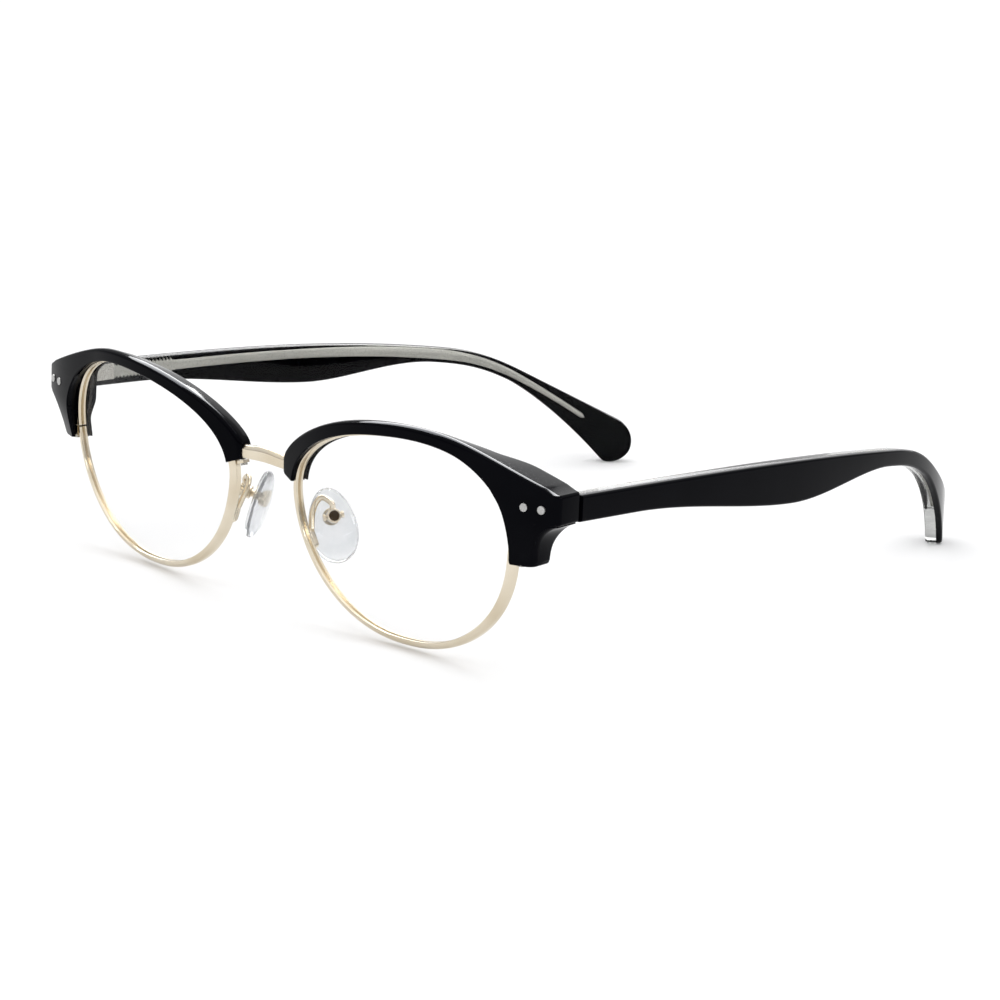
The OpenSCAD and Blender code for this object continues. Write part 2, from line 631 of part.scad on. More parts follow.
module at_pad_screw() {
    translate([0, -pad_stand, pad_screw_up]) children();
}

// Round post from behind the cross screw into the pad, with a flange inside it
post_d = 1.5;
post_tail = 0.6;
flange_d = 3.2;
flange_t = 0.6;
pad_fit = 0.04;

module pad_post(extra) {
    rotate([-90, 0, 0]) {
        translate([0, 0, -post_tail]) cylinder(d = post_d + 2 * extra, h = pad_stand + post_tail);
        translate([0, 0, pad_stand - flange_t + 0.1 - extra])
            cylinder(d = flange_d + 2 * extra, h = flange_t + 2 * extra);
    }
}

module pad_insert(right) {
    color(gold) both(right) stand() at_pad() at_pad_screw() difference() {
        pad_post(0);
        rotate([0, 90, 0]) cylinder(d = pad_screw_d + 0.06, h = 4, center = true);
    }
}

module pad_screw(right) {
    color(steel) both(right) stand() at_pad() at_pad_screw() rotate([0, 90, 0]) {
        cylinder(d = pad_screw_d, h = box_d + 1.1, center = true);
        for (x = [-1, 1]) translate([0, 0, x * (box_d / 2 + 0.4)])
            cylinder(d = pad_screw_d + 0.5, h = 0.5, center = true);
    }
}

// Arm: foot on the rim's back, bent wire, and the box that holds the screw
foot_t = 195;
foot_at = eye_off(foot_t - 4, (rim_in + rim_out) / 2);
arm_start = [eye_x + foot_at[0], front_y(foot_at) + rim_d + 0.7, foot_at[1]];
arm_end = pad_pt([0, -pad_stand - 0.5, pad_screw_up + box_d / 2 - 0.2]);
arm_route = [arm_start, arm_start + [-0.75, 0.7, 2.4], arm_start + [-0.9, 1.6, 4.4],
    arm_start + [-0.1, 2.4, 5.6], arm_end + [-0.1, -0.2, 1.3], arm_end];

function spline_pt(p, i, k) = let (n = len(p) - 1,
        a = p[max(0, i - 1)], b = p[i], c = p[min(n, i + 1)], d = p[min(n, i + 2)])
    b + 0.5 * k * (c - a + k * (2 * a - 5 * b + 4 * c - d + k * (3 * (b - c) + d - a)));
arm_pts = concat([for (i = [0 : len(arm_route) - 2], k = [0 : 0.2 : 0.8]) spline_pt(arm_route, i, k)],
    [arm_end]);

// Round tube along points
function tube_rings(p, r, sides) = [for (i = [0 : len(p) - 1]) let (
        t = unit(p[min(len(p) - 1, i + 1)] - p[max(0, i - 1)]),
        n = unit(cross(t, [0.3, 1, 0.1])), b = cross(t, n))
    [for (j = [0 : sides - 1]) p[i] + r * (cos(j * 360 / sides) * n + sin(j * 360 / sides) * b)]];

module pad_arm(right) {
    color(gold) both(right) stand() {
        skin(tube_rings(arm_pts, arm_d / 2, 8));
        skin([for (t = [foot_t - 5 : 2.5 : foot_t + 5]) let (p = eye_off(t, (rim_in + rim_out) / 2))
            [for (q = [[-0.4, 0.03], [0.4, 0.03], [0.35, 1.2], [-0.35, 1.2]])
                front_pt(eye_off(t, (rim_in + rim_out) / 2 + q[0]), rim_d + q[1])]]);
        at_pad() at_pad_screw() difference() {
            rotate([90, 0, 0]) translate([0, 0, -0.9]) cylinder(d = box_d, h = box_l);
            rotate([90, 0, 0]) translate([0, 0, -1.9]) cylinder(d = box_bore, h = box_l + 0.4);
            rotate([0, 90, 0]) cylinder(d = pad_screw_d + 0.06, h = 4, center = true);
        }
    }
}

// The model is built round the height of the lens centres and the lens plane,
// then moved to stand on z = 0, with the origin under the middle of its box
brow_front = min([for (s = brow_stations) each [for (q = brow_section(s[1], s[2], s[0])) q[1]]]);
temple_back = max([for (i = [temple_n - 8 : temple_n]) each [for (q = outer_ring(i)) q[1]]]);
stand_z = -min(eye_bottom, temple_bottom);
stand_y = -(brow_front + temple_back) / 2;

module stand() {
    translate([0, stand_y, stand_z]) children();
}

brow(true);  // brow_right
brow(false);  // brow_left
rim(true);  // rim_right
rim(false);  // rim_left
bridge();
lens(true);  // lens_right
lens(false);  // lens_left
rim_lock(true);  // rim_lock_right
rim_lock(false);  // rim_lock_left
rim_screw(true);  // rim_screw_right
rim_screw(false);  // rim_screw_left
brow_bracket(true);  // brow_bracket_right
brow_bracket(false);  // brow_bracket_left
brow_screw(true);  // brow_screw_right
brow_screw(false);  // brow_screw_left
front_hinge(true);  // front_hinge_right
front_hinge(false);  // front_hinge_left
endpiece_rivets(true);  // endpiece_rivets_right
endpiece_rivets(false);  // endpiece_rivets_left
hinge_screw(true);  // hinge_screw_right
hinge_screw(false);  // hinge_screw_left
pad_arm(true);  // pad_arm_right
pad_arm(false);  // pad_arm_left
nose_pad(true);  // nose_pad_right
nose_pad(false);  // nose_pad_left
pad_insert(true);  // pad_insert_right
pad_insert(false);  // pad_insert_left
pad_screw(true);  // pad_screw_right
pad_screw(false);  // pad_screw_left
temple_outer(true);  // temple_outer_right
temple_outer(false);  // temple_outer_left
temple_inner(true);  // temple_inner_right
temple_inner(false);  // temple_inner_left
temple_core(true);  // temple_core_right
temple_core(false);  // temple_core_left
temple_hinge(true);  // temple_hinge_right
temple_hinge(false);  // temple_hinge_left
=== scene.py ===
"""Browline glasses with the temples open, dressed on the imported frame.

Shapes are worked out in millimetres round the lens centres' height and the lens plane: x across the
face, y back along the temples, z up. The wearer's left is at +x, and the right is its mirror image.
"""
import json

import bmesh
import bpy
import numpy as np
from mathutils import Matrix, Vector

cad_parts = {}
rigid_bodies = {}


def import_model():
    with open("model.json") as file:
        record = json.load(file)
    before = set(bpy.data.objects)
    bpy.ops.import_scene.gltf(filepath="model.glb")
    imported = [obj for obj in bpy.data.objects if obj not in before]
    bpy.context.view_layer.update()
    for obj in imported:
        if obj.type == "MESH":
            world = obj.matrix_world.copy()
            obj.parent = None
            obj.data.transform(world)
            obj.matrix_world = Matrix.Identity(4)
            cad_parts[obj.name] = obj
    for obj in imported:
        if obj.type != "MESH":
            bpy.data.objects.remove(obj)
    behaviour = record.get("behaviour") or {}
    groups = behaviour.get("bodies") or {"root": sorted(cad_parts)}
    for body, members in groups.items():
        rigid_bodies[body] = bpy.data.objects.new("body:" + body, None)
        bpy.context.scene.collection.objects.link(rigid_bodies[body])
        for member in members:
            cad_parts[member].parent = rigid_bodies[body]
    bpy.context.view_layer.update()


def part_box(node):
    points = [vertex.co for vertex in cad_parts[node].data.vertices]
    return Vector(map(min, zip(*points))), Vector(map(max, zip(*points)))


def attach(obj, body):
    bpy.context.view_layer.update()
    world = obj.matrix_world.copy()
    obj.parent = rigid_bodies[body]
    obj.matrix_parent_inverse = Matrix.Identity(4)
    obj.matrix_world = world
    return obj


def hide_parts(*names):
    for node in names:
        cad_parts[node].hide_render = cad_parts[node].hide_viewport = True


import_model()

# Lenses and rims
LENS_W, LENS_UP, LENS_DOWN, LENS_GAP = 50.5, 18.1, 19.8, 18.1
TAPER, RISE, SWING = 0.131, 0.1, 0.75
CORNER_OUTER, CORNER_ROUND = 2.28, 2.25
LENS_T, BASE_R, LEAN, WRAP = 1.3, 90.0, 6.2, 4.2
RIM_W, RIM_D, BEVEL, LENS_CLEAR = 1.3, 1.8, 0.55, 0.05
# Brows
LIP_FRONT, LIP_END, LIP_NASAL, LIP_REAR, GROOVE = 1.4, 3.2, 0.9, 1.1, 0.12
EDGE_FACE, EDGE_BACK, EDGE_REAR, EDGE_LIP = 0.95, 0.6, 0.45, 0.3
BROW_SLOPE, BROW_H, END_W, END_H, END_UP = 0.9, 2.8, 10.4, 5.4, 10.4
LOBE_DROP, LOBE_W, NASAL_W, NASAL_T, END_R, LOBE_R = 10.7, 4.6, 4.0, 165.0, 0.7, 0.7
# Handles of the brow's curves as shares of the lens width, and rim angles that its stations aim at
PEAK_AT, PEAK_LEAD, PEAK_TRAIL, END_LEAD = 0.107, 0.4257, 0.1406, 0.35
NASAL_TILT, T_PEAK, T_END, T_JOINT, T_LOWER, T_LOBE = 17, 82, 42, 36, 30, 24
# Bridge
BRIDGE_BACK, BRIDGE_H, BRIDGE_D, BRIDGE_RISE, BRIDGE_UP = 1.5, 2.4, 1.6, 0.4, 7.35
# Hinges
MITRE, JOINT_BACK, HINGE_IN, KNUCKLE_R, HINGE_H = 12.5, 11.8, 5.05, 1.15, 4.2
LEAF_T, LEAF_IN, LEAF_OUT, JOINT_GAP = 0.8, 4.2, 3.0, 0.08
# Temples
TEMPLE_LEN, TEMPLE_T, OUTER_T, HINGE_END_H, TEMPLE_LOW = 149.5, 3.6, 1.2, 4.7, 0.3
BULGE_H, BULGE_AT, WAIST_H, WAIST_AT = 7.9, 59.0, 3.2, 94.0
TIP_H, FLARE_AT, FLARE_LATE, TIP_ROUND = 10.1, 115.0, 1.64, 5.5
FIRST_SLOPE, WAIST_SLOPE, EAR_SLOPE, EAR_BEND, TIP_IN, CURVE_LATE = 1.3, 7.6, 26.5, 25.0, 26.3, 3.3
GLUE, EDGE_R = 0.05, 0.6
CORE_D, WIRE_H, PLATE_H, PLATE_TO, PLATE_T, CORE_SHORT = 1.1, 2.0, 2.4, 27.0, 0.8, 13.0
CORE_FROM, CORE_SKIN, PLATE_FADE, TOOTH, TOOTH_PITCH, WIRE_END = 3.0, 0.12, 4.0, 0.24, 0.9, 0.8
# Nose pads
PAD_W, PAD_H, PAD_T, PAD_X, PAD_BACK, PAD_DOWN = 9.0, 14.0, 2.8, 10.0, 9.9, 4.7
PAD_SPLAY, PAD_LEAN, PAD_STAND, PAD_SCREW_UP, ARM_D = 32.0, 20.0, 3.3, 1.6, 1.1
BOX_D, BOX_BORE, BOX_L, BOX_AT = 2.6, 1.9, 2.2, 0.9
FOOT_T, FOOT_HALF, FOOT_GAP, FOOT_D = 195.0, 5, 0.03, 1.2
PAD_EGG, PAD_FRONT, PAD_REAR, PAD_SET = 0.12, 0.6, 0.35, 0.1
# Where the dark disc that paints the shade inside each pad box starts and ends
BOX_SHADE_FROM, BOX_SHADE_BACK = 1.75, 2.05

EYE_X = (LENS_GAP + LENS_W) / 2
OVERALL_W = LENS_GAP + 2 * (LENS_W + END_W)
BRIDGE_ARCH, BRIDGE_OVER, BRIDGE_LIFT = OVERALL_W / 24, 2.5, 0.2
RIM_IN, RIM_OUT = -BEVEL, RIM_W - BEVEL
BROW_IN = RIM_IN - 0.05


def mix(a, b, k):
    """From a at k = 0 to b at k = 1."""
    return a + (b - a) * k


def ease(k):
    """Slow at both ends: 3k^2 - 2k^3, with k held to 0..1."""
    k = np.clip(k, 0, 1)
    return k * k * (3 - 2 * k)


def unit(p):
    """Vectors divided by their lengths."""
    return p / np.linalg.norm(p, axis=-1, keepdims=True)


def rad(a):
    return np.radians(a)


def bezier(p, k):
    """Cubic curve through p[0] and p[3], drawn towards p[1] and p[2]."""
    p = np.asarray(p, float)
    k = np.asarray(k, float)[:, None]
    return (1 - k) ** 3 * p[0] + 3 * (1 - k) ** 2 * k * p[1] + 3 * (1 - k) * k**2 * p[2] + k**3 * p[3]


def eye(t):
    """Edge of a lens at angle t: a squared ellipse, half width times cos and height times sin,
    each to the power 2 / corner. Its width grows with height by TAPER over 20 mm, its lower half
    swings outwards by SWING, and its upper half rises outwards by RISE."""
    c, s = np.cos(rad(t)), np.sin(rad(t))
    e = 2 / np.where((c > 0) & (s > 0), CORNER_OUTER, CORNER_ROUND)
    v = np.where(s > 0, LENS_UP, LENS_DOWN) * np.sign(s) * np.abs(s) ** e
    u = LENS_W / 2 * np.sign(c) * np.abs(c) ** e * (1 + TAPER * v / 20)
    swing, rise = np.where(v < 0, SWING * v / 20, 0), np.where(v > 0, RISE * u * v / 20, 0)
    return np.stack([u - swing, v + rise], -1)


def eye_off(t, r):
    """The lens edge moved outwards by r, square to the edge."""
    t, r = np.broadcast_arrays(np.asarray(t, float), np.asarray(r, float))
    d = unit(eye(t + 0.5) - eye(t - 0.5))
    return eye(t) + r[..., None] * np.stack([d[..., 1], -d[..., 0]], -1)


def front_y(p):
    """Depth of the rims' front: distance squared over 2 BASE_R, plus x tan WRAP, less z tan LEAN."""
    u, v = p[..., 0], p[..., 1]
    return (u**2 + v**2) / (2 * BASE_R) + u * np.tan(rad(WRAP)) - v * np.tan(rad(LEAN))


def front_pt(p, d):
    """A point of the front, from its place on the face and its depth d behind the rims' front."""
    return np.stack([EYE_X + p[..., 0], front_y(p) + d, p[..., 1]], -1)


def joint_y(x):
    """Depth of the slanted joint between endpiece and temple."""
    return JOINT_BACK - (OVERALL_W / 2 - x) * np.tan(rad(MITRE))


HINGE_X = OVERALL_W / 2 - HINGE_IN
AXIS_OFF = KNUCKLE_R + 0.1
AXIS_Y = joint_y(HINGE_X) + AXIS_OFF * np.cos(rad(MITRE))

# The hinge screw in the frame says where the front stands: the shapes' zero, in millimetres
low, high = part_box("hinge_screw_left")
STAND = np.array([0, (low[1] + high[1]) * 500 - AXIS_Y, low[2] * 1000 - (END_UP - HINGE_H / 2)])


def rounded(corners, radii, steps=5):
    """A closed outline of (r, d) corners with each corner cut by a parabola arc that starts and
    ends at its radius from the corner, held to 0.45 of the sides."""
    c = np.asarray(corners, float)
    radii = np.asarray(radii, float)
    out = []
    for j in range(len(c)):
        a, b = c[j - 1] - c[j], c[(j + 1) % len(c)] - c[j]
        la, lb = np.linalg.norm(a), np.linalg.norm(b)
        if radii[j] == 0:
            out.append(c[j : j + 1])
            continue
        cut = min(radii[j], 0.45 * la, 0.45 * lb)
        k = np.linspace(0, 1, steps)[:, None]
        start, end = c[j] + a / la * cut, c[j] + b / lb * cut
        out.append((1 - k) ** 2 * start + 2 * k * (1 - k) * c[j] + k**2 * end)
    return np.concatenate(out)


def shell(rings, caps="flat"):
    """Rings of points joined in order. caps closes the ends with flat faces, a fan to a middle
    point, or nothing where the rings themselves run round."""
    m, n = rings.shape[:2]
    ids = np.arange(m * n).reshape(m, n)
    if caps == "round":
        ids = np.concatenate([ids, ids[:1]])
    a, b = ids[:-1], ids[1:]
    quads = np.stack([a, b, np.roll(b, -1, 1), np.roll(a, -1, 1)], -1).reshape(-1, 4).tolist()
    verts = rings.reshape(-1, 3)
    if caps == "flat":
        quads += [ids[0].tolist(), ids[-1][::-1].tolist()]
    elif caps == "fan":
        verts = np.concatenate([verts, rings[:1].mean(1), rings[-1:].mean(1)])
        for row, tip in ((ids[0], m * n), (ids[-1], m * n + 1)):
            quads += [[int(p), int(q), tip] for p, q in zip(row, np.roll(row, -1))]
    return verts, quads


# Edges that turn by more than this many degrees stay crisp, except on the wire and the lens
PLAIN = 38


def clean(mesh, sharp):
    """Merges doubles, turns faces outwards, and keeps edges over the sharp angle crisp."""
    bm = bmesh.new()
    bm.from_mesh(mesh)
    bmesh.ops.remove_doubles(bm, verts=bm.verts, dist=2e-7)
    bmesh.ops.recalc_face_normals(bm, faces=bm.faces)
    bm.to_mesh(mesh)
    bm.free()
    mesh.shade_smooth()
    mesh.set_sharp_from_angle(angle=rad(sharp))


def make(name, parts, sharp=PLAIN):
    """A new object from a list of (points in millimetres, faces)."""
    verts, faces, start = [], [], 0
    for v, f in parts:
        verts.append(v)
        faces += [[i + start for i in face] for face in f]
        start += len(v)
    mesh = bpy.data.meshes.new(name)
    mesh.from_pydata(((np.concatenate(verts) + STAND) / 1000).tolist(), [], faces)
    clean(mesh, sharp)
    obj = bpy.data.objects.new(name, mesh)
    bpy.context.scene.collection.objects.link(obj)
    return obj


def dress(obj, material, body, slot, *nodes):
    """Gives a piece its material and its body, and hides the nodes that it stands for. Its slot is not
    used.
    """
    obj.data.materials.clear()
    obj.data.materials.append(material)
    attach(obj, body)
    if nodes:
        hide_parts(*nodes)
    return obj


def mirrored(parts, right):
    """The same points for the other side of the face."""
    return [(v * np.array([-1.0 if right else 1.0, 1, 1]), f) for v, f in parts]


# Materials

def linear(code):
    """sRGB hex to the linear colour that the shaders use."""
    c = np.array([int(code[i : i + 2], 16) for i in (1, 3, 5)]) / 255
    return (*np.where(c <= 0.04045, c / 12.92, ((c + 0.055) / 1.055) ** 2.4), 1.0)


def material(name):
    """A new material with no nodes yet."""
    mat = bpy.data.materials.new(name)
    mat.use_nodes = True
    mat.node_tree.nodes.clear()
    return mat


def node(mat, kind, settings=None, values=None, links=None, stops=None):
    """Adds a node: its settings, values for its inputs, links to its inputs, and the stops of a
    colour ramp as (position, hex)."""
    n = mat.node_tree.nodes.new("ShaderNode" + kind)
    for key, value in (settings or {}).items():
        setattr(n, key, value)
    for key, value in (values or {}).items():
        n.inputs[key].default_value = value
    for key, source in (links or {}).items():
        mat.node_tree.links.new(source, n.inputs[key])
    if stops:
        band = n.color_ramp.elements
        for stop, (at, code) in zip((band[0], band[1]), (stops[0], stops[-1])):
            stop.position, stop.color = at, linear(code)
        for at, code in stops[1:-1]:
            band.new(at).color = linear(code)
    return n


def per_mm(size):
    """Noise scale whose cells are about this many millimetres, on coordinates in metres."""
    return 1000 / size


def black_acetate():
    """Cellulose acetate sheet, milled and tumbled: near black, with a deep wet gloss, a faint
    cloud in its colour, and the slow swell that tumbling leaves in a cut edge. Its specular level
    is low for a plastic, because a white table would turn it grey."""
    mat = material("tumbled_black_acetate")
    place = node(mat, "TexCoord").outputs["Object"]
    cloud = node(mat, "TexNoise", values={"Scale": per_mm(14), "Detail": 3.0, "Roughness": 0.5},
                 links={"Vector": place})
    haze = node(mat, "TexNoise", values={"Scale": per_mm(0.7), "Detail": 4.0, "Roughness": 0.6},
                links={"Vector": place})
    swell = node(mat, "TexNoise", values={"Scale": per_mm(7), "Detail": 1.0}, links={"Vector": place})
    colour = node(mat, "ValToRGB", links={"Fac": cloud.outputs["Fac"]},
                  stops=[(0.35, "#020204"), (0.7, "#060609")]).outputs["Color"]
    rough = node(mat, "MapRange", values={"From Min": 0.3, "From Max": 0.7, "To Min": 0.05, "To Max": 0.13},
                 links={"Value": haze.outputs["Fac"]})
    bump = node(mat, "Bump", values={"Strength": 0.12, "Distance": 0.0002},
                links={"Height": swell.outputs["Fac"]})
    skin = node(mat, "BsdfPrincipled", values={"IOR": 1.48, "Specular IOR Level": 0.045,
                                                 "Specular Tint": linear("#d4d9e6")},
                links={"Base Color": colour, "Roughness": rough.outputs["Result"],
                       "Normal": bump.outputs["Normal"]})
    node(mat, "OutputMaterial", links={"Surface": skin.outputs["BSDF"]})
    return mat


def lets_light_by(mat, glass, tint):
    """Sends glass to the output, but lets rays from the lamps pass, so that it throws next to no
    shadow."""
    path = node(mat, "LightPath")
    open_way = node(mat, "BsdfTransparent", values={"Color": linear(tint)})
    both = node(mat, "MixShader", links={0: path.outputs["Is Shadow Ray"], 1: glass.outputs["BSDF"],
                                          2: open_way.outputs["BSDF"]})
    node(mat, "OutputMaterial", links={"Surface": both.outputs["Shader"]})


def see_through(mat, skin, clear, low, high):
    """Straight sight through a clear piece set against its neighbours, under a gloss that grows
    towards its edges as Schlick's low + (high - low) (1 - cos)^5."""
    facing = node(mat, "LayerWeight", values={"Blend": 0.5}).outputs["Facing"]
    power = node(mat, "Math", {"operation": "POWER"}, values={1: 5.0}, links={0: facing})
    gloss = node(mat, "MapRange", values={"To Min": low, "To Max": high},
                 links={"Value": power.outputs["Value"]})
    both = node(mat, "MixShader", links={0: gloss.outputs["Result"], 1: clear.outputs["BSDF"],
                                          2: skin.outputs["BSDF"]})
    node(mat, "OutputMaterial", links={"Surface": both.outputs["Shader"]})


def clear_acetate():
    """Crystal cellulose acetate, the temples' inner layer: clear with a cool grey cast, polished,
    with faint flow streaks along the sheet. Its IOR is below the real 1.48, because it is glued to
    the black layer and the eye looks straight through it."""
    mat = material("polished_crystal_acetate")
    place = node(mat, "TexCoord").outputs["Object"]
    stretch = node(mat, "Mapping", values={"Scale": (1, 0.12, 1)}, links={"Vector": place})
    flow = node(mat, "TexNoise", values={"Scale": per_mm(2.5), "Detail": 3.0},
                links={"Vector": stretch.outputs["Vector"]})
    colour = node(mat, "ValToRGB", links={"Fac": flow.outputs["Fac"]},
                  stops=[(0.3, "#a7a8a7"), (0.7, "#bbbcba")]).outputs["Color"]
    rough = node(mat, "MapRange", values={"From Min": 0.3, "From Max": 0.7, "To Min": 0.0, "To Max": 0.03},
                 links={"Value": flow.outputs["Fac"]})
    glass = node(mat, "BsdfPrincipled", values={"IOR": 1.16, "Transmission Weight": 1.0},
                 links={"Base Color": colour, "Roughness": rough.outputs["Result"]})
    lets_light_by(mat, glass, "#d8d9d8")
    return mat


def gold_plate():
    """Nickel silver wire with a pale gold plate, satin brushed along its length."""
    mat = material("satin_pale_gold_plate")
    place = node(mat, "TexCoord").outputs["Object"]
    brush = node(mat, "TexNoise", values={"Scale": per_mm(0.6), "Detail": 2.0, "Roughness": 0.5},
                 links={"Vector": place})
    tone = node(mat, "TexNoise", values={"Scale": per_mm(9), "Detail": 2.0}, links={"Vector": place})
    colour = node(mat, "ValToRGB", links={"Fac": tone.outputs["Fac"]},
                  stops=[(0.3, "#cfc2aa"), (0.7, "#ded4c1")]).outputs["Color"]
    rough = node(mat, "MapRange", values={"From Min": 0.3, "From Max": 0.7, "To Min": 0.16, "To Max": 0.24},
                 links={"Value": brush.outputs["Fac"]})
    bump = node(mat, "Bump", values={"Strength": 0.02, "Distance": 0.00002},
                links={"Height": brush.outputs["Fac"]})
    metal = node(mat, "BsdfPrincipled", values={"Metallic": 1.0},
                 links={"Base Color": colour, "Roughness": rough.outputs["Result"],
                        "Normal": bump.outputs["Normal"]})
    node(mat, "OutputMaterial", links={"Surface": metal.outputs["BSDF"]})
    return mat


def steel(name, dark, light, rough_low, rough_high, metallic=1.0):
    """Turned nickel silver or stainless steel, with the fine grain of machining. A lower metallic
    value stands for the soft white of a drawn, tumbled surface."""
    mat = material(name)
    place = node(mat, "TexCoord").outputs["Object"]
    grain = node(mat, "TexNoise", values={"Scale": per_mm(0.25), "Detail": 4.0, "Roughness": 0.65},
                 links={"Vector": place})
    colour = node(mat, "ValToRGB", links={"Fac": grain.outputs["Fac"]},
                  stops=[(0.3, dark), (0.7, light)]).outputs["Color"]
    rough = node(mat, "MapRange", values={"From Min": 0.3, "From Max": 0.7, "To Min": rough_low,
                                           "To Max": rough_high},
                 links={"Value": grain.outputs["Fac"]})
    bump = node(mat, "Bump", values={"Strength": 0.05, "Distance": 0.00003},
                links={"Height": grain.outputs["Fac"]})
    metal = node(mat, "BsdfPrincipled", values={"Metallic": metallic},
                 links={"Base Color": colour, "Roughness": rough.outputs["Result"],
                        "Normal": bump.outputs["Normal"]})
    node(mat, "OutputMaterial", links={"Surface": metal.outputs["BSDF"]})
    return mat


def demo_lens():
    """Cast acrylic demonstration lens: clear, with a faint gloss that varies a little, as a bare
    surface does."""
    mat = material("clear_acrylic_lens")
    place = node(mat, "TexCoord").outputs["Object"]
    film = node(mat, "TexNoise", values={"Scale": per_mm(11), "Detail": 2.0}, links={"Vector": place})
    clear = node(mat, "BsdfTransparent", values={"Color": linear("#fdfdfd")})
    colour = node(mat, "ValToRGB", links={"Fac": film.outputs["Fac"]},
                  stops=[(0.3, "#f2f4f8"), (0.7, "#ffffff")]).outputs["Color"]
    skin = node(mat, "BsdfPrincipled", values={"Metallic": 1.0, "Roughness": 0.02},
                links={"Base Color": colour})
    see_through(mat, skin, clear, 0.006, 0.2)
    return mat


def silicone():
    """Moulded clear silicone: soft and glassy, with a thin milky haze and a fine moulded skin. Its IOR is a
    little below the real 1.41, which keeps its rim from going dark."""
    mat = material("moulded_clear_silicone")
    place = node(mat, "TexCoord").outputs["Object"]
    haze = node(mat, "TexNoise", values={"Scale": per_mm(3), "Detail": 3.0}, links={"Vector": place})
    colour = node(mat, "ValToRGB", links={"Fac": haze.outputs["Fac"]},
                  stops=[(0.3, "#dcdfe2"), (0.7, "#eff0f1")]).outputs["Color"]
    bump = node(mat, "Bump", values={"Strength": 0.2, "Distance": 0.0001},
                links={"Height": haze.outputs["Fac"]})
    glass = node(mat, "BsdfPrincipled", values={"IOR": 1.36, "Transmission Weight": 0.87,
                                                 "Roughness": 0.04},
                 links={"Base Color": colour, "Normal": bump.outputs["Normal"]})
    lets_light_by(mat, glass, "#f0f2f4")
    return mat


BLACK, CRYSTAL, GOLD, LENS, PAD = black_acetate(), clear_acetate(), gold_plate(), demo_lens(), silicone()
HINGE = steel("turned_nickel_silver", "#8e8c86", "#bdbbb4", 0.2, 0.36)
RIVET = steel("faced_steel_rivet", "#9c9c9a", "#c4c4c2", 0.3, 0.5)
WIRE = steel("drawn_core_wire", "#cfcdc6", "#e8e6df", 0.25, 0.38, 0.5)
# Dark brown that paints the shade and dark reflection inside the pad boxes
BOX_SHADE = steel("painted_box_shade", "#21170a", "#46341a", 0.3, 0.5)


# Rims: a channel wire with a flat front, a bevelled outer edge and a groove for the lens

LOCK_T, LOCK_SPLIT = 4.0, 0.4
RIM_PROFILE = rounded(
    [[RIM_IN, 0], [RIM_IN, RIM_D / 2 - BEVEL * 0.6], [LENS_CLEAR, RIM_D / 2],
     [RIM_IN, RIM_D / 2 + BEVEL * 0.6], [RIM_IN, RIM_D], [RIM_OUT, RIM_D], [RIM_OUT, 0.5],
     [RIM_OUT - 0.5, 0]],
    [0.25, 0.04, 0.04, 0.04, 0.25, 0.45, 0.12, 0.1])


def rim():
    """The wire's profile, r outwards and d backwards, carried round the lens edge."""
    t = np.linspace(LOCK_T + LOCK_SPLIT, LOCK_T + 360 - LOCK_SPLIT, 300)[:, None]
    return [shell(front_pt(eye_off(t, RIM_PROFILE[None, :, 0]), RIM_PROFILE[None, :, 1]))]


def lens():
    """Rings from the middle of the front out over the bevelled edge to the middle of the back.
    The edge lies a hair inside the rim's metal, so that the gold shows through it as it does
    where acrylic is sprung against a wire."""
    front = (RIM_D - LENS_T) / 2
    edge = RIM_IN + 0.03
    rings, hole, half = 18, 0.04, BEVEL * 0.66
    k = np.concatenate([np.linspace(hole, 1, rings), [1, 1, 1], np.linspace(1, hole, rings)])
    r = np.full(len(k), edge)
    r[rings + 1] = LENS_CLEAR + 0.05
    d = np.concatenate([np.full(rings, front), [RIM_D / 2 - half, RIM_D / 2, RIM_D / 2 + half],
                        np.full(rings, front + LENS_T)])
    t = np.linspace(0, 360, 256, endpoint=False)[None, :]
    return [shell(front_pt(eye_off(t, r[:, None]) * k[:, None, None], d[:, None]), "fan")]


# Brows

END_U = LENS_W / 2 + END_W
PEAK = np.array([PEAK_AT * LENS_W, eye_off(np.arange(60, 91, 3), BROW_IN)[:, 1].max() + BROW_H])
NASAL_FOOT = eye_off(NASAL_T, BROW_IN)
NASAL_LOW = NASAL_FOOT + NASAL_W * np.array([-np.cos(rad(NASAL_TILT)), np.sin(rad(NASAL_TILT))])
NASAL_TOP = NASAL_LOW + [0.1, 2.7]
END_TOP = np.array([END_U, END_UP + END_H / 2])
END_LOW = np.array([END_U, END_UP - END_H / 2])
LOBE_V = END_UP - LOBE_DROP
LOBE_LOW = np.array([eye_off(0, RIM_OUT + 0.1)[0] + LOBE_W, LOBE_V])


def brow_face(p):
    """Front of a brow: it stands out from the rims' front by a lip, which grows from the nasal end
    over 22 mm, and again over the 22 mm before the endpiece where it lies above the lobe."""
    u, v = p[..., 0], p[..., 1]
    lip = np.where(u < 8, mix(LIP_NASAL, LIP_FRONT, ease((u + END_U - 7) / 22)),
                   mix(LIP_FRONT, LIP_END, ease((u - 14) / 22) * ease((v + 2) / 10)))
    return front_y(p) - lip


def brow_rear(p):
    """Back of a brow, behind the rim, going over to the joint's slant at the endpiece."""
    k = ease((p[..., 0] - 20) / 7) * ease((p[..., 1] - END_UP + 7.5) / 4.5)
    return mix(front_y(p) + RIM_D + LIP_REAR, joint_y(EYE_X + p[..., 0]), k)


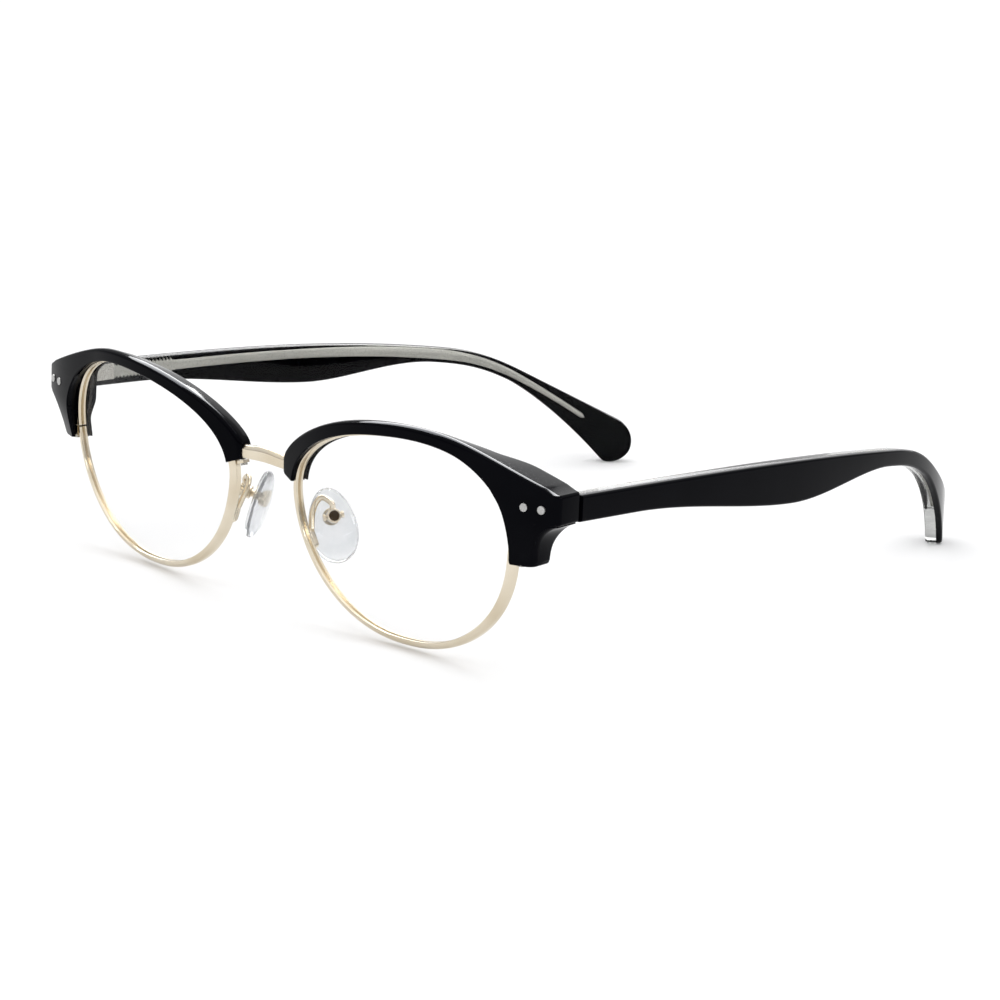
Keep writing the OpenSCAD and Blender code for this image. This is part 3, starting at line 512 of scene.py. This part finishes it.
def brow_stations():
    """Rim angle, point on the rim side and point on the outline, from the nasal end to the lobe:
    the nasal end's straight side, a curve up to the peak, one down to the endpiece, its rounded
    corners, a curve down to the lobe, and the lobe's rounded corner."""
    runs = []

    def run(t, b, a=None):
        runs.append((t, eye_off(t, BROW_IN) if a is None else a, b))

    k = np.linspace(0, 1, 5)[:, None]
    run(NASAL_T - 1.5 * k[:, 0], mix(NASAL_LOW, NASAL_TOP, 0.2 * k) + (1 - k) ** 2 * [0.35, 0.05])
    k = np.linspace(0, 1, 7)
    run(NASAL_T - 3 - 5 * k, mix(NASAL_LOW, NASAL_TOP, mix(0.4, 1, k)[:, None]))
    k = np.linspace(0, 1, 61)[1:]
    run(mix(NASAL_T - 8, T_PEAK, k),
        bezier([NASAL_TOP, NASAL_TOP + [0.1, 2.3], PEAK - [PEAK_LEAD * LENS_W, 0], PEAK], k))
    k = np.linspace(0, 0.95, 58)[1:]
    run(mix(T_PEAK, T_END, k), bezier(
        [PEAK, PEAK + [PEAK_TRAIL * LENS_W, 0], END_TOP + [-END_LEAD * LENS_W, 6.4], END_TOP], k))
    a = rad(np.linspace(90, 0, 10))
    turn = END_R * np.stack([np.cos(a) - 1, np.sin(a) - 1], -1)
    run(np.linspace(T_END, T_JOINT, 10), END_TOP + turn)
    run(np.linspace(T_LOWER, T_LOBE, 10), END_LOW + (turn * [1, -1])[::-1])
    k = np.linspace(0.06, 0.94, 32)
    run(mix(T_LOBE, 3, k),
        bezier([END_LOW, END_LOW + [-3.4, -1.1], LOBE_LOW + [0.4, 4.2], LOBE_LOW], k))
    a = rad(np.linspace(0, 90, 8))
    s, z = LOBE_R * (1 - np.cos(a)), LOBE_V + LOBE_R * (1 - np.sin(a))
    foot = eye_off(0, BROW_IN)[0]
    run(np.zeros(8), np.stack([LOBE_LOW[0] - s, z], -1), np.stack([foot + 0.2 * s, z], -1))
    return [np.concatenate(x) for x in zip(*runs)]


ON_FACE, ON_RIM, ON_REAR = 0, 1, 2


def brow():
    """At each station, a section from the rim to the outline: lip, groove, rear lip, back, rounded
    back edge, sloped top, rounded front edge and face. Each run of it is given as a distance along
    the station, the surface that it's measured from and a depth behind that surface. A rounded
    edge is a quarter circle of its radius."""
    t, a, b = brow_stations()
    w = np.linalg.norm(b - a, axis=1)[:, None]
    d = (b - a) / w
    out = unit(eye_off(t, 1) - eye(t))
    share = np.maximum(0.6, (out * d).sum(1))[:, None]
    groove = (RIM_OUT + GROOVE - BROW_IN) / share
    lip = (mix(RIM_OUT + 0.05, RIM_IN + 0.3, ease((t - 12) / 42))[:, None] - BROW_IN) / share
    fall = mix(BROW_SLOPE, 0.3, ease((b[:, :1] - 12) / 20))
    back = w - fall
    q, kind, depth = [], [], []

    def put(along, base, deep):
        along = np.broadcast_to(along, (len(t), np.shape(along)[-1]))
        q.append(along)
        depth.append(np.broadcast_to(deep, along.shape))
        kind.extend([base] * along.shape[1])

    up = rad(np.linspace(0, 90, 7))[None, :]
    put(lip, ON_RIM, -GROOVE)
    put(groove, ON_RIM, -GROOVE)
    put(groove, ON_RIM, RIM_D + GROOVE)
    put(np.zeros((1, 1)), ON_RIM, RIM_D + GROOVE)
    put(EDGE_REAR * (1 - np.sin(up)), ON_REAR, -EDGE_REAR * np.cos(up))
    put(mix(EDGE_REAR + 0.05, back - EDGE_BACK - 0.05, np.linspace(0, 1, 9)[None, :]), ON_REAR, 0.0)
    put(back - EDGE_BACK * (1 - np.sin(up)), ON_REAR, -EDGE_BACK * (1 - np.cos(up)))
    put(w - EDGE_FACE * (1 - np.cos(up)), ON_FACE, EDGE_FACE * (1 - np.sin(up)))
    put(mix(w - EDGE_FACE - 0.1, lip + EDGE_LIP + 0.05, np.linspace(0, 1, 10)[None, :]), ON_FACE, 0.0)
    put(lip + EDGE_LIP * (1 - np.sin(up)), ON_FACE, EDGE_LIP * (1 - np.cos(up)))
    q, depth, kind = np.concatenate(q, 1), np.concatenate(depth, 1), np.array(kind)[None, :]
    p = a[:, None, :] + q[..., None] * d[:, None, :]
    base = np.choose(np.broadcast_to(kind, q.shape), [brow_face(p), front_y(p), brow_rear(p)])
    return [shell(np.stack([EYE_X + p[..., 0], base + depth, p[..., 1]], -1))]


def cut(obj, cutters):
    """Takes the cutters out of a piece and drops them."""
    for c in cutters:
        mod = obj.modifiers.new("cut", "BOOLEAN")
        mod.operation, mod.solver, mod.object = "DIFFERENCE", "EXACT", c
    view = bpy.context.evaluated_depsgraph_get()
    done = bpy.data.meshes.new_from_object(obj.evaluated_get(view))
    obj.modifiers.clear()
    obj.data = done
    for c in cutters:
        bpy.data.objects.remove(c)
    clean(obj.data, PLAIN)


def box(low, high):
    """Eight corners and six faces of a block, as two rings."""
    x0, y0, z0 = low
    x1, y1, z1 = high
    return shell(np.array([[[x0, y0, z], [x1, y0, z], [x1, y1, z], [x0, y1, z]] for z in (z0, z1)], float))


def turned(parts, move, angle=0.0):
    """Turns points about z by an angle, then moves them."""
    c, s = np.cos(rad(angle)), np.sin(rad(angle))
    m = np.array([[c, s, 0], [-s, c, 0], [0, 0, 1]])
    return [(v @ m + np.asarray(move), f) for v, f in parts]


LOCK_W, LOCK_L, LOCK_D = 1.9, 2.0, 2.2
LOCK_AT = eye_off(LOCK_T, RIM_OUT + 0.02)
LOCK_Y = front_y(LOCK_AT) + RIM_D - LOCK_D
JOINT_AT = np.array([HINGE_X, joint_y(HINGE_X), END_UP])


def brow_cutters(right):
    """Pockets for the rim's closing block and the hinge leaf, a hair larger than what they take."""
    lock = [box([EYE_X + LOCK_AT[0] - 0.4, LOCK_Y - 0.15, LOBE_V - 1],
                [EYE_X + LOCK_AT[0] + LOCK_W + 0.2, LOCK_Y + LOCK_D + 4, LOCK_AT[1] + LOCK_L + 0.2])]
    leaf = turned([box([-LEAF_IN - 0.03, -LEAF_T - 0.03, -HINGE_H / 2 - 0.03],
                       [LEAF_OUT + 0.03, 2.2, HINGE_H / 2 + 0.03])], JOINT_AT, MITRE)
    return [make("pocket", mirrored(p, right)) for p in (lock, leaf)]


# Bridge

def bridge():
    """A bar with rounded corners, its upper front edge bevelled, carried across between the rims.
    It rises to the middle as cos squared, and its ends follow the rims' edges."""
    edge = eye_off(np.arange(120, 181, 2), RIM_OUT + 0.06)[::-1]
    x = np.linspace(-1, 1, 121)[:, None] * (LENS_GAP / 2 + BRIDGE_OVER)
    k = np.cos(rad(np.minimum(90, np.abs(x) * 90 / BRIDGE_ARCH))) ** 2
    lo = BRIDGE_UP + BRIDGE_LIFT * k - BRIDGE_H / 2
    hi = BRIDGE_UP + BRIDGE_H / 2 + BRIDGE_RISE * k
    profile = rounded([[0, 0], [BRIDGE_D, 0], [BRIDGE_D, 1], [0.45, 1], [0, 0.7]],
                      [0.22, 0.22, 0.22, 0.08, 0.08])
    z = mix(lo, hi, profile[None, :, 1])
    end = np.interp(z, edge[:, 1], EYE_X + edge[:, 0])
    far = np.sign(x) * np.minimum(np.abs(x), end)
    return [shell(np.stack([far, np.broadcast_to(BRIDGE_BACK + profile[None, :, 0], z.shape), z], -1))]


# Temples

TEMPLE_X = OVERALL_W / 2 - TEMPLE_T / 2
SEAM = TEMPLE_T / 2 - OUTER_T


def temple_slope(s):
    """Downward slope in degrees: gentle to the waist, then eased down behind the ear."""
    return np.where(s < WAIST_AT, mix(FIRST_SLOPE, WAIST_SLOPE, (s / WAIST_AT) ** 2),
                    mix(WAIST_SLOPE, EAR_SLOPE, ease((s - WAIST_AT) / EAR_BEND)))


def temple_dx(s):
    """How fast the temple turns inwards: the slope of TIP_IN (s / length) to the power CURVE_LATE."""
    return TIP_IN * CURVE_LATE / TEMPLE_LEN * (s / TEMPLE_LEN) ** (CURVE_LATE - 1)


def temple_h(s):
    """Height of the temple: hinge end, bulge and waist eased into one another, then a tip that
    widens as a power of the distance."""
    flare = np.clip((s - FLARE_AT) / (TEMPLE_LEN - 4 - FLARE_AT), 0, 1) ** FLARE_LATE
    rise = mix(HINGE_END_H, BULGE_H, ease((s - BULGE_AT * 0.25) / (BULGE_AT * 0.75)))
    fall = mix(BULGE_H, WAIST_H, ease((s - BULGE_AT) / (WAIST_AT - BULGE_AT)))
    return np.where(s < BULGE_AT, rise, np.where(s < WAIST_AT, fall, mix(WAIST_H, TIP_H, flare)))


PATH_S = np.linspace(0, TEMPLE_LEN, 1201)
MID = (PATH_S[1:] + PATH_S[:-1]) / 2
STEP = PATH_S[1]
FALL = np.sin(rad(temple_slope(MID)))
BACK = np.sqrt(1 - FALL**2 - temple_dx(MID) ** 2)
PATH_Y = np.concatenate([[0], np.cumsum(STEP * BACK)]) + joint_y(TEMPLE_X)
PATH_Z = END_UP + HINGE_END_H / 2 - TEMPLE_LOW - np.concatenate([[0], np.cumsum(STEP * FALL)])


def temple_edges(s):
    """How far the top and bottom edges lie below the path. Over the last TIP_ROUND both draw in
    as a quarter ellipse, to a tip that isn't quite closed."""
    k = np.maximum(0, (s - TEMPLE_LEN + TIP_ROUND) / TIP_ROUND)
    c = (1 - np.sqrt(1 - 0.985 * k * k)) * temple_h(s) / 2
    return c, temple_h(s) - c


def temple_pt(s, a, b):
    """A point of the temple at distance s: a outwards from the middle, b down from the top edge."""
    slope = rad(temple_slope(s))
    turn = np.arcsin(temple_dx(s) / np.maximum(0.1, np.cos(slope)))
    x = TEMPLE_X - TIP_IN * (s / TEMPLE_LEN) ** CURVE_LATE
    x = x + a * np.cos(turn) + b * np.sin(turn) * np.sin(slope)
    y = np.interp(s, PATH_S, PATH_Y) + a * np.sin(turn) - b * np.cos(turn) * np.sin(slope)
    y = np.where(s < 1e-6, joint_y(x) + JOINT_GAP, y)
    return np.stack([x, y, np.interp(s, PATH_S, PATH_Z) - b * np.cos(slope)], -1)


def layer(inner, outer, s):
    """One layer of a temple between depths inner and outer, its edges on the outside rounded."""
    s = s[:, None]
    e0, e1 = temple_edges(s)
    r = np.minimum(EDGE_R, (e1 - e0) / 3)
    up = rad(np.linspace(0, 90, 7))[None, :]
    sign = np.sign(outer - inner)
    a = np.concatenate([np.full_like(s, inner), outer - sign * r * (1 - np.sin(up)),
                        outer - sign * r * (1 - np.cos(up)), np.full_like(s, inner)], 1)
    b = np.concatenate([e0, e0 + r * (1 - np.cos(up)), e1 - r * (1 - np.sin(up)), e1], 1)
    return shell(temple_pt(np.broadcast_to(s, a.shape), a, b))


TEMPLE_S = np.concatenate([np.linspace(0, TEMPLE_LEN - TIP_ROUND, 170)[:-1],
                           TEMPLE_LEN - TIP_ROUND * (1 - np.sin(rad(np.linspace(0, 90, 22))))])


def core():
    """The core wire: a rounded flat section along the temple's middle. Its front is a plate
    whose two edges are cut with teeth, a triangle wave that fades where the plate ends. The wire
    narrows behind the waist and ends round."""
    end = TEMPLE_LEN - CORE_SHORT
    split = PLATE_TO - 3
    s = np.concatenate([np.linspace(CORE_FROM, split, 240)[:-1], np.linspace(split, end, 150)])[:, None]
    k = ease((s - PLATE_TO + PLATE_FADE) / PLATE_FADE)
    tooth = TOOTH * (1 - k) * (4 * np.abs(np.mod(s / TOOTH_PITCH, 1) - 0.5) - 1)
    wide = mix(WIRE_H, CORE_D, ease((s - WAIST_AT) / (end - WAIST_AT)))
    last = np.maximum(0, (s - end + WIRE_END) / WIRE_END)
    half = (mix(PLATE_H, wide, k) / 2 + tooth) * np.sqrt(np.maximum(0.02, 1 - last**2))
    deep = mix(PLATE_T, CORE_D, k) / 2
    mid = np.where(s < WAIST_AT, mix(HINGE_END_H / 2, WAIST_H / 2, ease(s / WAIST_AT)),
                   WAIST_H / 2 + 0.38 * (temple_h(s) - WAIST_H))
    a = rad(np.linspace(0, 360, 24, endpoint=False))[None, :]
    e = mix(0.35, 0.85, k)
    across = SEAM - CORE_SKIN - deep + deep * np.sign(np.cos(a)) * np.abs(np.cos(a)) ** e
    down = mid + half * np.sign(np.sin(a)) * np.abs(np.sin(a)) ** e
    return [shell(temple_pt(np.broadcast_to(s, across.shape), across, down), "fan")]


# Nose pads: a frame at the pad's middle, y towards the nose, z up the pad

def pad_pt(p):
    """Places points of the pad's own frame: splayed about z, then leaned about y."""
    c, s = np.cos(rad(90 - PAD_SPLAY)), np.sin(rad(90 - PAD_SPLAY))
    x, y, z = p[..., 0] * c - p[..., 1] * s, p[..., 0] * s + p[..., 1] * c, p[..., 2]
    c, s = np.cos(rad(-PAD_LEAN)), np.sin(rad(-PAD_LEAN))
    return np.stack([x * c + z * s, y, z * c - x * s], -1) + [PAD_X, PAD_BACK, -PAD_DOWN]


def nose_pad():
    """A squared ellipsoid, k^3 + y^2.15 = 1 in front and k^10 + y^2 = 1 behind, where k is the share
    of an egg outline, an ellipse that is narrower at the top by PAD_EGG."""
    f = rad(np.linspace(2, 178, 45))
    front = f < np.pi / 2
    k = np.where(front, np.sin(f) ** (2 / 3), np.sin(f) ** (2 / 10))
    c = np.abs(np.cos(f))
    y = PAD_T * (np.where(front, PAD_FRONT * c ** (2 / 2.15), -PAD_REAR * c) - PAD_SET)
    a = rad(np.linspace(0, 360, 96, endpoint=False))[None, :]
    k, y = k[:, None], y[:, None]
    x, z = k * PAD_W / 2 * np.cos(a) * (1 - PAD_EGG * np.sin(a)), k * PAD_H / 2 * np.sin(a)
    return [shell(pad_pt(np.stack([x, np.broadcast_to(y, x.shape), z], -1)), "fan")]


def tube(points, radius, sides=20):
    """A round tube along points; its frame stays square to the path."""
    p = np.asarray(points)
    t = unit(np.concatenate([p[1:2] - p[:1], p[2:] - p[:-2], p[-1:] - p[-2:-1]]))
    n = unit(np.cross(t, [0.3, 1, 0.1]))
    b = np.cross(t, n)
    a = rad(np.linspace(0, 360, sides, endpoint=False))[None, :, None]
    return shell(p[:, None] + radius * (np.cos(a) * n[:, None] + np.sin(a) * b[:, None]), "fan")


def through(points, steps=14):
    """A smooth curve through the points: Catmull-Rom between each two."""
    p = np.asarray(points, float)
    q = np.concatenate([p[:1], p, p[-1:]])
    k = np.linspace(0, 1, steps, endpoint=False)[None, :, None]
    a, b, c, d = (q[i : len(p) - 1 + i, None] for i in range(4))
    run = b + 0.5 * k * (c - a + k * (2 * a - 5 * b + 4 * c - d + k * (3 * (b - c) + d - a)))
    return np.concatenate([run.reshape(-1, 3), p[-1:]])


def spun(profile, sides=48):
    """A closed (radius, height) outline spun about z."""
    pr = np.asarray(profile)[None]
    a = rad(np.linspace(0, 360, sides, endpoint=False))[:, None]
    x, y = pr[..., 0] * np.cos(a), pr[..., 0] * np.sin(a)
    return shell(np.stack([x, y, np.broadcast_to(pr[..., 1], x.shape)], -1), "round")


def in_box(profile):
    """A spun outline laid into the round box of a pad arm, its axis along the pad's depth."""
    v, f = spun(profile)
    return pad_pt(np.stack([v[:, 0], BOX_AT - v[:, 2], v[:, 1]], -1) + [0, -PAD_STAND, PAD_SCREW_UP]), f


def pad_arm():
    """A bent wire from a foot on the rim's back up, over and down to a round box. The foot's ends
    narrow as the square root of 1 less the sixth power of the distance from its middle."""
    mid = (RIM_IN + RIM_OUT) / 2
    foot = eye_off(FOOT_T - 4, mid)
    start = np.array([EYE_X + foot[0], front_y(foot) + RIM_D + 0.7, foot[1]])
    end = pad_pt(np.array([0, -PAD_STAND - 0.5, PAD_SCREW_UP + BOX_D / 2 - 0.2]))
    way = [start, start + [-0.75, 0.7, 2.4], start + [-0.9, 1.6, 4.4], start + [-0.1, 2.4, 5.6],
           end + [-0.1, -0.2, 1.3], end]
    wire = tube(through(way), ARM_D / 2)
    t = np.linspace(FOOT_T - FOOT_HALF, FOOT_T + FOOT_HALF, 25)[:, None]
    shrink = np.sqrt(np.clip(1 - (np.abs(t - FOOT_T) / FOOT_HALF) ** 6, 0.12, 1))
    block = rounded([[-0.4, FOOT_GAP], [0.4, FOOT_GAP], [0.35, FOOT_D], [-0.35, FOOT_D]],
                    [0.08, 0.08, 0.22, 0.22])
    behind = RIM_D + FOOT_GAP + (block[None, :, 1] - FOOT_GAP) * shrink
    block = shell(front_pt(eye_off(t, mid + block[None, :, 0] * shrink), behind))
    bore, out = BOX_BORE / 2, BOX_D / 2
    return [wire, block, in_box(rounded([[bore, 0], [out, 0], [out, BOX_L], [bore, BOX_L]], [0.12] * 4))]


def box_shade_disc():
    """A dark disc inside the box's back end, dished in the middle: its colour paints the shade and dark
    reflection in the box's hollow.
    """
    bore, mid = BOX_BORE / 2, 0.02
    return [in_box(rounded([[mid, BOX_SHADE_FROM], [bore, BOX_SHADE_FROM], [bore, BOX_SHADE_BACK], [0.5, BOX_SHADE_BACK - 0.1],
                            [mid, BOX_SHADE_BACK - 0.15]], [0, 0.05, 0.05, 0.1, 0]))]


def refined(name, edge):
    """A merged copy of a small turned or milled node, its triangles joined and its edges broken."""
    src = bpy.data.objects[name]
    bm = bmesh.new()
    bm.from_mesh(src.data)
    bmesh.ops.remove_doubles(bm, verts=bm.verts, dist=1e-7)
    bmesh.ops.dissolve_limit(bm, angle_limit=rad(1.0), verts=bm.verts, edges=bm.edges)
    mesh = bpy.data.meshes.new(name + "_fine")
    bm.to_mesh(mesh)
    bm.free()
    mesh.shade_smooth()
    mesh.set_sharp_from_angle(angle=rad(30))
    obj = bpy.data.objects.new(name + "_fine", mesh)
    bpy.context.scene.collection.objects.link(obj)
    mod = obj.modifiers.new("edges", "BEVEL")
    mod.width, mod.segments, mod.limit_method, mod.angle_limit = edge / 1000, 2, "ANGLE", rad(35)
    mod.harden_normals = True
    return obj


def flush(piece, depth):
    """Faces a piece back to a depth, so that it doesn't stand out in front of the rim."""
    at = np.empty(len(piece.data.vertices) * 3)
    piece.data.vertices.foreach_get("co", at)
    at[1::3] = np.maximum(at[1::3], (depth + STAND[1]) / 1000)
    piece.data.vertices.foreach_set("co", at)
    piece.data.update()


for side in ("right", "left"):
    right = side == "right"
    temple, pad = "temple_" + side, "pad_" + side
    black = [layer(SEAM - GLUE - 0.02, TEMPLE_T / 2, TEMPLE_S)]
    crystal = [layer(SEAM - GLUE, -TEMPLE_T / 2, TEMPLE_S)]
    for name, parts, sharp, finish, body, slot, stands_for in (
            ("rim_wire", rim(), 24, GOLD, "front", "gold_metal", "rim"),
            ("lens_clear", lens(), 20, LENS, "front", "clear_lens", "lens"),
            ("brow_acetate", brow(), PLAIN, BLACK, "front", "black_acetate", "brow"),
            ("temple_black", black, PLAIN, BLACK, temple, "black_acetate", "temple_outer"),
            ("temple_crystal", crystal, PLAIN, CRYSTAL, temple, "clear_acetate", "temple_inner"),
            ("temple_wire", core(), PLAIN, WIRE, temple, "steel", "temple_core"),
            ("pad_arm_wire", pad_arm(), PLAIN, GOLD, "front", "gold_metal", "pad_arm"),
            # A dark disc whose colour paints the shade and dark reflection inside the pad box
            ("pad_box_plug", box_shade_disc(), PLAIN, BOX_SHADE, "front", "gold_metal", None),
            ("pad_silicone", nose_pad(), PLAIN, PAD, pad, "silicone", "nose_pad")):
        piece = make(name + "_" + side, mirrored(parts, right), sharp)
        if name == "brow_acetate":
            cut(piece, brow_cutters(right))
        dress(piece, finish, body, slot, *([stands_for + "_" + side] if stands_for else []))
    for name, finish, body, slot, edge in (
            ("rim_lock", GOLD, "front", "gold_metal", 0.15),
            ("rim_screw", HINGE, "front", "steel", 0.1),
            ("brow_bracket", GOLD, "front", "gold_metal", 0.1),
            ("brow_screw", HINGE, "front", "steel", 0.08),
            ("front_hinge", HINGE, "front", "steel", 0.06),
            ("endpiece_rivets", RIVET, "front", "steel", 0.1),
            ("hinge_screw", HINGE, "front", "steel", 0.08),
            ("pad_screw", GOLD, "front", "gold_metal", 0.08),
            ("temple_hinge", HINGE, temple, "steel", 0.06),
            ("pad_insert", GOLD, pad, "gold_metal", 0.06)):
        piece = refined(name + "_" + side, edge)
        if name == "rim_lock":
            flush(piece, LOCK_Y + 0.5)
        dress(piece, finish, body, slot, name + "_" + side)

dress(make("bridge_bar", bridge(), 24), GOLD, "front", "gold_metal", "bridge")

# Studio: a pale table, soft lamps, and a sky that is pale at the horizon, grey above it and
# white overhead

floor = bpy.data.meshes.new("table")
HALF, SUNK = 6, -0.0002
floor.from_pydata([(x, y, SUNK) for x, y in ((-HALF, -HALF), (HALF, -HALF), (HALF, HALF), (-HALF, HALF))],
                  [], [(0, 1, 2, 3)])
floor = bpy.data.objects.new("table", floor)
bpy.context.scene.collection.objects.link(floor)
paper = material("matt_white_board")
place = node(paper, "TexCoord").outputs["Object"]
grain = node(paper, "TexNoise", values={"Scale": per_mm(60)}, links={"Vector": place})
tone = node(paper, "ValToRGB", links={"Fac": grain.outputs["Fac"]},
            stops=[(0.3, "#f8f8f8"), (0.7, "#f9f9f9")]).outputs["Color"]
matt = node(paper, "BsdfPrincipled", values={"Roughness": 0.9, "Specular IOR Level": 0.1},
            links={"Base Color": tone})
node(paper, "OutputMaterial", links={"Surface": matt.outputs["BSDF"]})
floor.data.materials.append(paper)

world = bpy.context.scene.world or bpy.data.worlds.new("studio")
bpy.context.scene.world = world
world.use_nodes = True
way = node(world, "TexCoord").outputs["Generated"]
height = node(world, "SeparateXYZ", links={"Vector": way}).outputs["Z"]
shade = node(world, "ValToRGB", links={"Fac": height}, stops=[
    (0.0, "#eeeeee"), (0.1, "#d2d2d3"), (0.25, "#85868a"), (0.5, "#e8e8e9"), (1.0, "#ffffff")])
sky = world.node_tree.nodes["Background"]
world.node_tree.links.new(shade.outputs["Color"], sky.inputs["Color"])
sky.inputs["Strength"].default_value = 1.36


def lamp(name, at, towards, width, height, power, gloss_only=False, lights=None):
    """A soft rectangular lamp, its face turned towards a point. One that is for gloss only shows
    in polished surfaces and leaves the table even. lights holds it to the pieces named there."""
    data = bpy.data.lights.new(name, "AREA")
    data.shape, data.size, data.size_y, data.energy = "RECTANGLE", width, height, power
    obj = bpy.data.objects.new(name, data)
    bpy.context.scene.collection.objects.link(obj)
    obj.visible_diffuse = not gloss_only
    if lights:
        obj.light_linking.receiver_collection = lights
    at, towards = np.array(at, float), np.array(towards, float)
    back = unit(at - towards)
    across = unit(np.cross([0, 0, 1] if abs(back[2]) < 0.99 else [0, 1, 0], back))
    turn = np.stack([across, np.cross(back, across), back], 1)
    obj.matrix_world = Matrix([[*turn[0], at[0]], [*turn[1], at[1]], [*turn[2], at[2]], [0, 0, 0, 1]])


lamp("overhead", (0, 0.1, 1.6), (0, 0, 0), 2.4, 2.4, 4)
acetate = bpy.data.collections.new("black_acetate_pieces")
for piece in bpy.data.objects:
    if piece.name.startswith(("brow_acetate", "temple_black")):
        acetate.objects.link(piece)
FACE = (0, 0, 0.02)
lamp("edge_glint", (-0.62, 0.15, 1.0), FACE, 1.5, 0.8, 180, True, acetate)
lamp("strip_right", (-0.85, 0.05, 0.85), FACE, 1.5, 0.05, 2.5, True)
lamp("strip_above", (0.15, 0.25, 1.2), FACE, 1.2, 0.05, 3, True)
lamp("strip_back", (-0.65, 0.95, 0.55), FACE, 1.6, 0.8, 8, True)
lamp("strip_left", (1.2, 0.25, 0.55), FACE, 0.9, 0.1, 2, True)

# Camera: a low three quarter view from the wearer's left, with the photograph's slight roll.
# FOCAL is in widths of the picture, and EYE is in millimetres from the shapes' zero.
camera = bpy.data.cameras.new("camera")
SENSOR, FOCAL = 36.0, 2.9151
camera.sensor_width, camera.lens = SENSOR, SENSOR * FOCAL
camera.clip_start, camera.clip_end = 0.02, 30
view = bpy.data.objects.new("camera", camera)
bpy.context.scene.collection.objects.link(view)
EYE = np.array([391.55, -337.838, 125.863])
AIM_AZIMUTH, AIM_DOWN, AIM_ROLL = rad(44.286), rad(13.584), rad(-2.293)
ahead = np.array([-np.sin(AIM_AZIMUTH) * np.cos(AIM_DOWN), np.cos(AIM_AZIMUTH) * np.cos(AIM_DOWN),
                  -np.sin(AIM_DOWN)])
level = unit(np.cross(ahead, [0, 0, 1]))
above = np.cross(level, ahead)
across = np.cos(AIM_ROLL) * level - np.sin(AIM_ROLL) * above
above = np.cross(across, ahead)
eye_at = (EYE + STAND) / 1000
view.matrix_world = Matrix([[across[i], above[i], -ahead[i], eye_at[i]] for i in range(3)] + [[0, 0, 0, 1]])
bpy.context.scene.camera = view
bpy.context.scene.view_settings.view_transform = "Standard"
